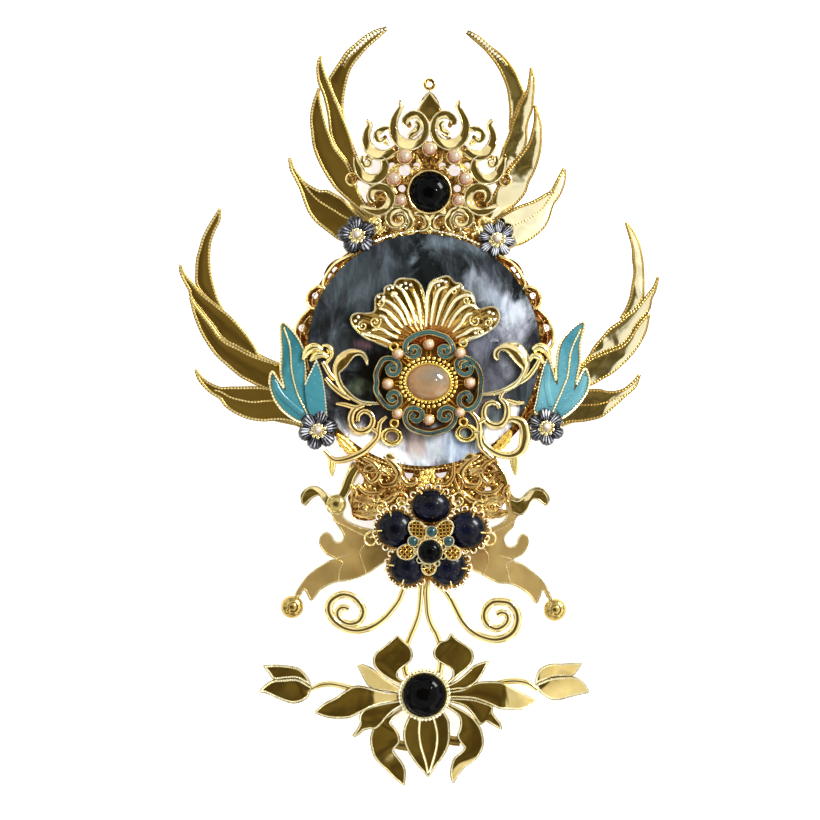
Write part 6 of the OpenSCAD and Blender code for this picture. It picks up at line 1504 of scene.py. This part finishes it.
def spray(node, outline, seams, arm, tip, ball, knob=None):
    """A cut leaf of satin sheet with a fine raised edge and seams, a curled tip and a flat arm over it, a
    finial and, on the left one, a knob."""
    finishes = [satin_gold, bead_gold, mirror_gold, ball_gold, shade_strip_gold]
    piece = Piece(node + "_sheet", finishes, stands_for=[node])
    edge = smooth(outline, 0.5, True)[:-1]
    piece.slab(edge, SPRAY_Z, 0.9)
    closed = np.vstack([edge, edge[:1]])
    # A thin darker strip round the outside of the edge: painted shade
    piece.strip(plus(closed, SPRAY_Z + 0.75), 0.26, 0.3, 4)
    left = left_of_path(np.vstack([edge[-1:], closed, edge[1:2]]))[1:-1]
    piece.strip(plus(closed - left * side_of(edge) * 0.16, SPRAY_Z + 0.9), 0.46, 0.35, 1)
    for seam in seams:
        piece.strip(plus(smooth(seam, 0.4), SPRAY_Z + 0.92), 0.3, 0.3, 1)
    piece.feather(*tip, SPRAY_Z + 0.75, 0.35, 0.12, [-0.1, 0, 0.1, 0.1, 0], finish=2, lip=0.3, step=0.5,
                  shade_margin=4)
    piece.sweep(arm, BAND, SPRAY_Z + 0.8, 0.8, 2, 0.4, taper=0.3)
    if knob:
        x, y, r = knob
        rows = [[0.05, SPRAY_Z + 1.6], [0.6, SPRAY_Z + 1.5], [0.88, SPRAY_Z + 1.2], [1, SPRAY_Z + 0.8],
                [0.05, SPRAY_Z + 0.8]]
        piece.turned((x, y), r, rows, 3, 32)
        piece.hoop((x, y), r * 0.98, 0.4, SPRAY_Z + 0.9, 0.5, 1, 0.4, 28)
    finial(piece, *ball)
    piece.made()


spray("leaf_spray_left", LEFT_SPRAY, LEFT_SEAMS, LEFT_ARM, LEFT_TIP, (-32, -50.3), (-20.9, -24.6, 2.4))
spray("leaf_spray_right", RIGHT_SPRAY, RIGHT_SEAMS, RIGHT_ARM, RIGHT_TIP, (33.8, -51))

LEFT_SPIRAL = [
    [-1, -40.6], [-3, -43.6], [-4.2, -46], [-5.2, -48.5], [-7, -51], [-9, -53.2], [-11.5, -55], [-14, -56],
    [-16.5, -56.2], [-19.2, -55.5], [-21.5, -53.8], [-22.8, -51.5], [-22.5, -49.2], [-21, -47.8],
    [-18.8, -47.2], [-16.5, -48], [-14.8, -49.8], [-14.2, -51.8], [-15.2, -53.8], [-17.2, -54.6],
    [-19.2, -54.1], [-20.6, -52.6], [-20.3, -50.9], [-19, -50.4], [-17.8, -50.9],
]
RIGHT_SPIRAL = [
    [4.6, -40.8], [4.2, -43], [4.5, -45], [6, -46], [7.5, -48], [8.8, -50.5], [10.2, -53.2], [12, -55.5],
    [14.2, -57.2], [16.8, -58.2], [19.2, -58.5], [21.8, -57.8], [23.8, -56], [24.5, -53.5], [24, -51.2],
    [22.5, -49.5], [20.5, -49], [18.2, -49.2], [16.5, -50.8], [16.1, -53], [17.1, -54.9], [19, -55.8],
    [20.8, -55.2], [22, -53.8], [21.8, -52.2], [20.4, -51.7], [19.2, -52.3],
]
LEFT_STEM = [
    [0.6, -40.2], [0.25, -46], [-0.25, -51.5], [-1.25, -54.8], [-2.5, -57.8], [-3.5, -61], [-3.8, -66],
    [-2.5, -69],
]
RIGHT_STEM = [
    [2.4, -40.2], [1.7, -46], [1.75, -49.2], [2, -52.2], [2.8, -54.8], [4, -57], [5, -60], [5.2, -64.8],
    [4.4, -69],
]


def wire(node, rows, middle):
    """A flattened wire, whose width goes from 1.4 by the given middle width to 1.8."""
    piece = Piece(node + "_round", [mirror_gold], stands_for=[node])
    width = np.interp(np.linspace(0, 1, len(rows)), [0, 0.45, 1], [1.4, middle, 1.8])
    piece.sweep(np.column_stack([rows, width]), STALK, WIRE_Z, 1.3, 0, 0.4, taper=0.4)
    piece.made()


wire("spiral_wire_left", LEFT_SPIRAL, 2.3)
wire("spiral_wire_right", RIGHT_SPIRAL, 2.35)
wire("stem_left", LEFT_STEM, 1.65)
wire("stem_right", RIGHT_STEM, 1.65)

# Buds: the upper petal's two edges, the lower petal's two edges, the stem
LEFT_BUD = [
    [[[-39.3, -64.8], [-37, -64.7], [-34, -64.8], [-30.2, -65.6], [-27.9, -68], [-26.9, -70.5]],
     [[-39.3, -65.2], [-37.8, -67], [-36.6, -68.5], [-34, -68.3], [-31, -68.2], [-28.6, -69.4],
      [-26.9, -70.5]]],
    [[[-40.3, -71.3], [-38.6, -69.6], [-36.6, -68.5], [-34, -68.3], [-31, -68.2], [-28.6, -69.4],
      [-26.9, -70.5]],
     [[-40.3, -71.6], [-38, -72.1], [-35, -73.5], [-31.5, -74.5], [-28.4, -73.3], [-26.9, -70.5]]],
    [[-27.2, -70.9, 1], [-25, -69.9, 1.2], [-22.5, -69.6, 1.3], [-20, -70, 1.3], [-17, -70.8, 1.3],
     [-12, -72, 1.2]],
]
RIGHT_BUD = [
    [[[40.6, -64.2], [38, -64.2], [36, -64.4], [32.2, -64.6], [29.5, -66.3], [28.7, -69.8]],
     [[40.6, -64.6], [39.4, -66.4], [38.2, -67.6], [35.5, -67.7], [33, -68], [30.6, -69], [28.7, -69.8]]],
    [[[42.4, -71.4], [41.4, -69.4], [39.6, -68.1], [38.2, -67.6], [35.5, -67.7], [33, -68], [30.6, -69],
      [28.7, -69.8]],
     [[42.4, -71.8], [38, -72.8], [33.8, -73.7], [30.6, -72.2], [28.7, -69.8]]],
    [[29.4, -71, 1], [27.5, -69.7, 1.2], [25.5, -69, 1.3], [22.5, -68.9, 1.3], [19, -69.6, 1.3],
     [13, -71.6, 1.2]],
]


def bud(node, petals, tilt):
    """A bud of two mirror petals on a stem."""
    upper, lower, stem = petals
    piece = Piece(node + "_petals", [lotus_gold, bead_gold, shade_strip_gold, mirror_gold], stands_for=[node])
    # Each petal has a darker strip along its edges: painted shade
    for edges, z, thick in ((upper, WIRE_Z, 1.1), (lower, WIRE_Z + 0.05, 1.15)):
        piece.feather(*edges, z, thick, 0.06, -tilt, [0.3, 0.1, 0, 0, -0.2], lip=0.3, step=0.5, beads=0.18,
                      shade_margin=2)
    piece.sweep(np.array(stem) * [1, 1, 1.3], STALK, WIRE_Z, 1.2, 3, 0.4)
    piece.made()


bud("bud_left", LEFT_BUD, 0.02)
bud("bud_right", RIGHT_BUD, 0.16)


# The lotus: each petal's two edges from tip to root, its lean and its rise

LOTUS = [
    ([[-26.4, -76.4], [-23.8, -74.2], [-21, -72.8], [-18.5, -71], [-16.5, -70], [-14.5, -70],
      [-12.5, -70.5], [-8.8, -71.5], [-4, -72]],
     [[-26.2, -76.9], [-23, -78], [-20, -78.2], [-17.5, -78], [-15, -76.8], [-12, -75.4], [-9, -74.6],
      [-4, -74]], 0.03, [0.1, 0.1, 0, 0, -0.1, -0.7, -1.4]),
    ([[-14.7, -64.4], [-12.5, -65.2], [-11, -66.2], [-9.2, -67.8], [-7, -69.2], [-3.5, -71]],
     [[-15.8, -65], [-14.8, -66.8], [-13.8, -68.8], [-12.8, -70.2], [-11, -71], [-7.5, -71.5], [-4, -72.4]],
     -0.24, 0),
    ([[-5.8, -57.3], [-7.5, -58.8], [-9.5, -60.5], [-11.2, -61.8], [-11.8, -63.5], [-11.5, -65],
      [-10, -66.8], [-7.5, -68.5], [-3, -71]],
     [[-5.4, -57.4], [-3.8, -59], [-2.2, -60.5], [-1.75, -62.2], [-2.2, -63.8], [-3.8, -65], [-5.2, -66.2],
      [-5.5, -67.5], [-4.5, -68.5], [-1, -70.5]], [0.05, 0, -0.03, 0.05, 0.2], 0),
    ([[-17, -82.4], [-15.8, -80.8], [-15, -79.2], [-15.2, -77.8], [-14.5, -76.2], [-12.5, -75.2],
      [-10, -74.5], [-7.5, -74], [-4, -73.4]],
     [[-16.5, -82.9], [-15.2, -82.2], [-14, -81.2], [-12.5, -80.8], [-11, -80.8], [-9.5, -79.5],
      [-7.8, -77.5], [-6, -76], [-3, -74.4]], [0, 0, 0.1, 0.16, 0.2], 0),
    ([[-4.2, -95], [-6.8, -92.8], [-8.5, -91], [-10.2, -89.5], [-11.5, -87.8], [-12.2, -85.8],
      [-12.5, -83.5], [-12, -81.2], [-10.6, -79.4], [-4, -75]],
     [[-3.8, -95], [-3.5, -92.2], [-3.8, -90.2], [-4.8, -88.5], [-6, -87], [-6.5, -86], [-5.8, -85],
      [-5, -84], [-5.2, -82.2], [-6.2, -80.5], [-7.2, -79.2], [-5.5, -77], [-2, -74.6]],
     [0, 0.03, 0.1, 0.14, 0.03, 0], [0, 0.1, 0.3, 0.1, 0]),
    ([[1.9, -93], [0.75, -91.5], [-0.75, -89.8], [-2.2, -87.8], [-3.5, -85.5], [-4.2, -83], [-4, -80.5],
      [-3, -78], [-1, -74]],
     [[2.3, -93], [4.2, -90], [5.8, -87.8], [7, -85.5], [7.5, -83.5], [7.5, -80.5], [7, -78], [4, -74]],
     0.0, [-0.2, 0, 0, 0]),
    ([[7.6, -56.8], [6.5, -58.5], [5, -59], [3.8, -60.2], [3.2, -61.8], [3.8, -63.2], [5.2, -64.2],
      [6.8, -65], [8, -66], [8, -67.5], [7, -68.8], [3, -71]],
     [[7.9, -56.8], [9.5, -58.5], [11.5, -59.8], [13, -61], [13.5, -62.5], [13.2, -64], [12, -65.5],
      [10, -67.2], [8, -69], [4, -72]], [0.1, 0.04, 0.04, 0.1], 0),
    ([[17.2, -63.6], [15.5, -64], [13.5, -64.8], [12, -66.2], [10, -68], [8, -69.2], [4, -71]],
     [[17.3, -64], [16.2, -66], [15.2, -67.8], [13.8, -69.5], [11.5, -70.8], [8.8, -71], [4, -72.2]], 0.04,
     0),
    ([[29.4, -73.6], [27.5, -72.8], [25, -71.5], [22.5, -70.2], [20.5, -69], [18.8, -68.8], [16, -68.8],
      [13.8, -69.2], [10.5, -70.8], [5, -71.4]],
     [[29.3, -74], [27.8, -75], [25.5, -76], [22.5, -76], [20, -75.8], [18.2, -75], [15.8, -74],
      [12.5, -73.2], [5, -73]], 0.02, [-1.6, -0.6, 0, 0, 0, 0, 0]),
    ([[20.6, -80.8], [20.2, -79.2], [19.2, -78], [18.2, -76.5], [18.2, -75], [15.8, -74], [12.5, -73.2],
      [5, -73]],
     [[20.4, -81.1], [18, -79.8], [16.5, -79], [15.2, -79.8], [14.2, -78.8], [13, -77], [11, -75.2],
      [8, -74.2], [4, -73.6]], [0.12, 0.04, 0, 0], 0),
    ([[8.1, -94.5], [7.5, -92.2], [7.8, -89.8], [8.5, -88], [10, -86.8], [11, -85.5], [10, -84.2],
      [9.2, -82.5], [9.8, -81], [10, -78.8], [9, -77], [5, -74.4]],
     [[8.5, -94.4], [10, -92], [11.5, -90.2], [13.5, -89], [15, -87.2], [16, -84.8], [15.8, -82.2],
      [15, -80], [12.5, -77.2], [6, -73.6]], [-0.16, -0.04, 0, 0.02, 0.03], [-0.5, -0.2, 0, 0, 0]),
]
LOTUS_RIBS = [
    [[0, -78], [-0.25, -81.8], [0.25, -85.2], [1.25, -88.5], [2, -91.9]],
    [[3.4, -78], [4.2, -81.5], [4.2, -84.8], [3.5, -88], [2.4, -91.6]],
]
LOTUS_JOINTS = [[[-6.4, -84.4], [-4.8, -84.9], [-3, -85.2]], [[6.8, -83.4], [8.3, -83.8], [10, -83.9]]]
LOTUS_C = (1.1, -72.25)


def lotus():
    """Lotus: mirror petals with raised and beaded lips and darker edge strips of painted shade, two smooth
    ribs, low joints between petals darkened as painted shadow, and a beaded setting."""
    piece = Piece("lotus_petals", [lotus_gold, bead_gold, relief_gold, shade_strip_gold], stands_for=["lotus"])
    for k, (a, b, tilt, bow) in enumerate(LOTUS):
        piece.feather(a, b, HUB_Z + 0.05 * (k % 4), 0.7, 0.06, tilt, bow, lip=0.2, step=0.5, beads=0.16,
                      shade_margin=3)
    for rib in LOTUS_RIBS:
        piece.sweep(plus(rib, 0.55), DOMED, HUB_Z + 0.6, 0.6, 1, 0.4)
    # The joints are in the darker edge gold: painted shadow between the petals
    for joint in LOTUS_JOINTS:
        piece.sweep(plus(joint, 2.4), DOMED, HUB_Z, 0.5, 3, 0.4)
    rows = [[0.8, HUB_Z + 0.9], [0.97, HUB_Z + 0.8], [1, HUB_Z + 0.5], [1, HUB_Z], [0.05, HUB_Z],
            [0.05, HUB_Z + 0.65], [0.8, HUB_Z + 0.65], [0.8, HUB_Z + 0.9]]
    piece.turned(LOTUS_C, 6.6, rows, 2, 48)
    piece.hoop(LOTUS_C, 5.65, 0.5, HUB_Z + 0.9, 1.0, 1, count=48)
    piece.rope(ring(LOTUS_C, 6.25, 90), HUB_Z + 1.15, 0.42, 0.95, 1)
    piece.made()
    stone("lotus_black_cabochon", LOTUS_C, 5.3, 5.35, 0.6, 2.4, agate, "lotus_stone", "black_stone")


lotus()


# Carved shell flowers on their pins: x, y, radius, lobes, turn, shine. The shine scales the painted sheen,
# less on the upper left flower and more on the upper right one.

FLOWERS = {
    "upper_left": [-15.75, 42.75, 4.75, 5, 100, 0.86], "upper_right": [19.25, 41.75, 4.6, 8, 80, 1.25],
    "lower_left": [-25.5, -6, 4.9, 6, 75, 1.0], "lower_right": [31.5, -5.25, 4.6, 6, 95, 1.0],
}
PIN_Z = FACE_Z + 1.25


def shell_flower(key, x, y, r, lobes, turn, shine):
    """A carved flower: its reach is r times 0.74 plus 0.27 of the lobes' root and a little of the grooves,
    its top swells between the middle and the tip, and grooves run out from the middle. Its shade and sheen
    are painted: dark in the grooves, pale on the ridges, the lobes and the swell, times the shine."""
    piece = Piece("carved_shell_flower_" + key, [grey_shell], "grey_shell", ["shell_flower_" + key])
    a = np.arange(240) * TAU / 240
    lobe = np.abs(np.cos(lobes * (a - np.radians(turn)) / 2))
    s = np.linspace(0.2, 1, 12)[:, None]
    groove = np.abs(np.sin(a * lobes * 2.5)) ** 0.8
    reach = r * (0.74 + 0.27 * lobe ** 0.6 + 0.03 * groove)
    swell = np.sin(np.pi * s ** 1.4) ** 0.7
    top = FACE_Z + 0.55 + 1.05 * swell * (0.45 + 0.55 * lobe ** 0.5)
    top = top - 0.28 * (1 - groove) * np.sin(np.pi * s) - 0.5 * s ** 6
    face = np.stack([x + reach * s * np.cos(a), y + reach * s * np.sin(a), top], -1)
    back = face[::-1] * [1, 1, 0] + [0, 0, FACE_Z]
    # Painted shade in the grooves and painted sheen on the ridges, lobes and swell
    light = shine * (0.05 + 0.95 * groove ** 1.4) * (0.35 + 0.65 * lobe ** 0.7) * (0.5 + 0.5 * swell)
    tone = np.concatenate([light, np.zeros((13, 240))])
    piece.grid(np.concatenate([face, back, face[:1]]), ends=False, tone=tone)
    piece.made()


def flower_pin(key, x, y):
    """A pin's claw: a low cup, grains round it, further out at its foot, short spokes and a pearl."""
    piece = Piece("flower_pin_claw_" + key, [bright_gold, relief_gold])
    cup = [[0.05, PIN_Z + 0.55], [0.8, PIN_Z + 0.55], [1, PIN_Z + 0.3], [1, PIN_Z - 0.2], [0.05, PIN_Z - 0.2]]
    piece.turned((x, y), 1.5, cup, 1, 20)
    count = 10
    t = np.arange(count) * TAU / count + 0.3
    reach = np.where(np.sin(t) < 0.3, 1.75, 1.35)
    spots = np.column_stack([x + reach * np.cos(t), y + reach * np.sin(t) - 0.1])
    piece.grains(np.column_stack([plus(spots, PIN_Z + 0.75), np.full(count, 0.48)]))
    for angle in t:
        out = np.array([np.cos(angle), np.sin(angle)])
        piece.sweep(plus([[x, y] + out * r for r in (0, 0.9, 1.6)], 0.3), THIN, PIN_Z + 0.25, 0.35, 0, 0.4)
    piece.made()
    pearls("flower_pin_pearl_" + key, [[x, y + 0.1, 1.15]], PIN_Z + 0.5, white_pearl, "flower_pearl_" + key,
           0.05)


for key, values in FLOWERS.items():
    shell_flower(key, *values)
    flower_pin(key, *values[:2])


# Finishes of the part's own solids

OWN = {
    "hair_comb": comb_gold, "back_plate": ground_gold, "pearl_disc": shell, "crown": ground_gold,
    "medallion": medal_gold, "enamel_leaf_left": bright_gold, "enamel_leaf_right": bright_gold,
    "leaf_enamel_left": leaf_teal, "leaf_enamel_right": pale_teal, "lower_filigree": ground_gold,
    "flower_setting": ground_gold, "flower_pin_upper_left": relief_gold,
    "flower_pin_upper_right": relief_gold, "flower_pin_lower_left": relief_gold,
    "flower_pin_lower_right": relief_gold,
}
for node, finish in OWN.items():
    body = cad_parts[node]
    body.data.materials.clear()
    body.data.materials.append(finish)


# Room, light and camera

DISTANCE, FRAME_WIDTH, FACE_HEIGHT, LAMP_DISTANCE = 1.2, 0.205, 0.006, 0.7


def paper_floor():
    """A pale floor that gives some light of its own."""
    mesh = bpy.data.meshes.new("floor")
    mesh.from_pydata([(-2, -2, 0), (2, -2, 0), (2, 2, 0), (-2, 2, 0)], [], [(0, 1, 2, 3)])
    floor = bpy.data.objects.new("floor", mesh)
    bpy.context.scene.collection.objects.link(floor)
    paper = Finish("pale_paper", Roughness=0.9, Emission_Color=(1, 1, 1, 1), Emission_Strength=0.7)
    paper.feed("Base Color", paper.ramp(paper.noise(8, 2), [(0.3, (0.93,) * 3), (0.7, (0.95,) * 3)]))
    mesh.materials.append(paper.material)


def sky():
    """An even light low down, above it bright panels with dim gaps between them, then a bright band all
    round, and within it a dark brown round almost straight above, where flat metal looks."""
    world = bpy.data.worlds.new("studio")
    bpy.context.scene.world = world
    world.use_nodes = True
    n = Nodes(world.node_tree)
    way = n.node("TexCoord").outputs["Generated"]
    axis = np.array([-0.07, 0.0, 1.0])
    axis = tuple(axis / np.linalg.norm(axis))
    up = n.node("VectorMath", {0: way, 1: axis}, operation="DOT_PRODUCT").outputs["Value"]
    up = n.math("ADD", up, n.span(n.noise_at(way, 7.0), 0.3, 0.7, -0.012, 0.012))
    blot = n.noise_at(way, 2.3, 2.0, distortion=0.5)
    beside, above = n.span(blot, 0.46, 0.51, 2.4, 0.4), n.span(blot, 0.4, 0.6, 1.35, 0.95)
    panels = n.mix(n.span(up, 0.7, 0.8), beside, above)
    light = n.mix(n.span(up, 0.2, 0.36), 0.9, panels)
    light = n.node("CombineColor", {0: light, 1: light, 2: light}).outputs[0]
    drift = n.span(n.noise_at(way, 11.0, 1.0), 0.35, 0.65)
    brown = n.blend(drift, (0.095, 0.072, 0.029), (0.19, 0.153, 0.058))
    background = n.tree.nodes["Background"]
    n.tree.links.new(n.blend(n.span(up, 0.951, 0.966), light, brown), background.inputs["Color"])
    background.inputs["Strength"].default_value = 1.0


def lamp(name, off, bearing, size, power):
    """A lamp that faces the middle from off degrees beside straight above, towards a bearing."""
    data = bpy.data.lights.new(name, "AREA")
    data.shape = "RECTANGLE"
    data.size, data.size_y, data.energy = *size, power
    thing = bpy.data.objects.new(name, data)
    off, bearing = np.radians(off), np.radians(bearing)
    way = np.array([np.sin(off) * np.cos(bearing), np.sin(off) * np.sin(bearing), np.cos(off)])
    thing.location = LAMP_DISTANCE * way
    thing.rotation_euler = (0, off, bearing)
    bpy.context.scene.collection.objects.link(thing)


def camera():
    """A camera straight above the crown, its long lens chosen so that the photo's width fills the view."""
    data = bpy.data.cameras.new("photo_camera")
    data.sensor_width = 36
    data.lens = 36 * DISTANCE / FRAME_WIDTH
    thing = bpy.data.objects.new("photo_camera", data)
    thing.location = (-0.0025, -0.001, FACE_HEIGHT + DISTANCE)
    bpy.context.scene.collection.objects.link(thing)
    bpy.context.scene.camera = thing
    bpy.context.scene.view_settings.view_transform = "Standard"


paper_floor()
sky()
lamp("window", 46, 38, (0.17, 0.22), 6.2)
lamp("dot", 24, 30, (0.02, 0.02), 0.5)
camera()
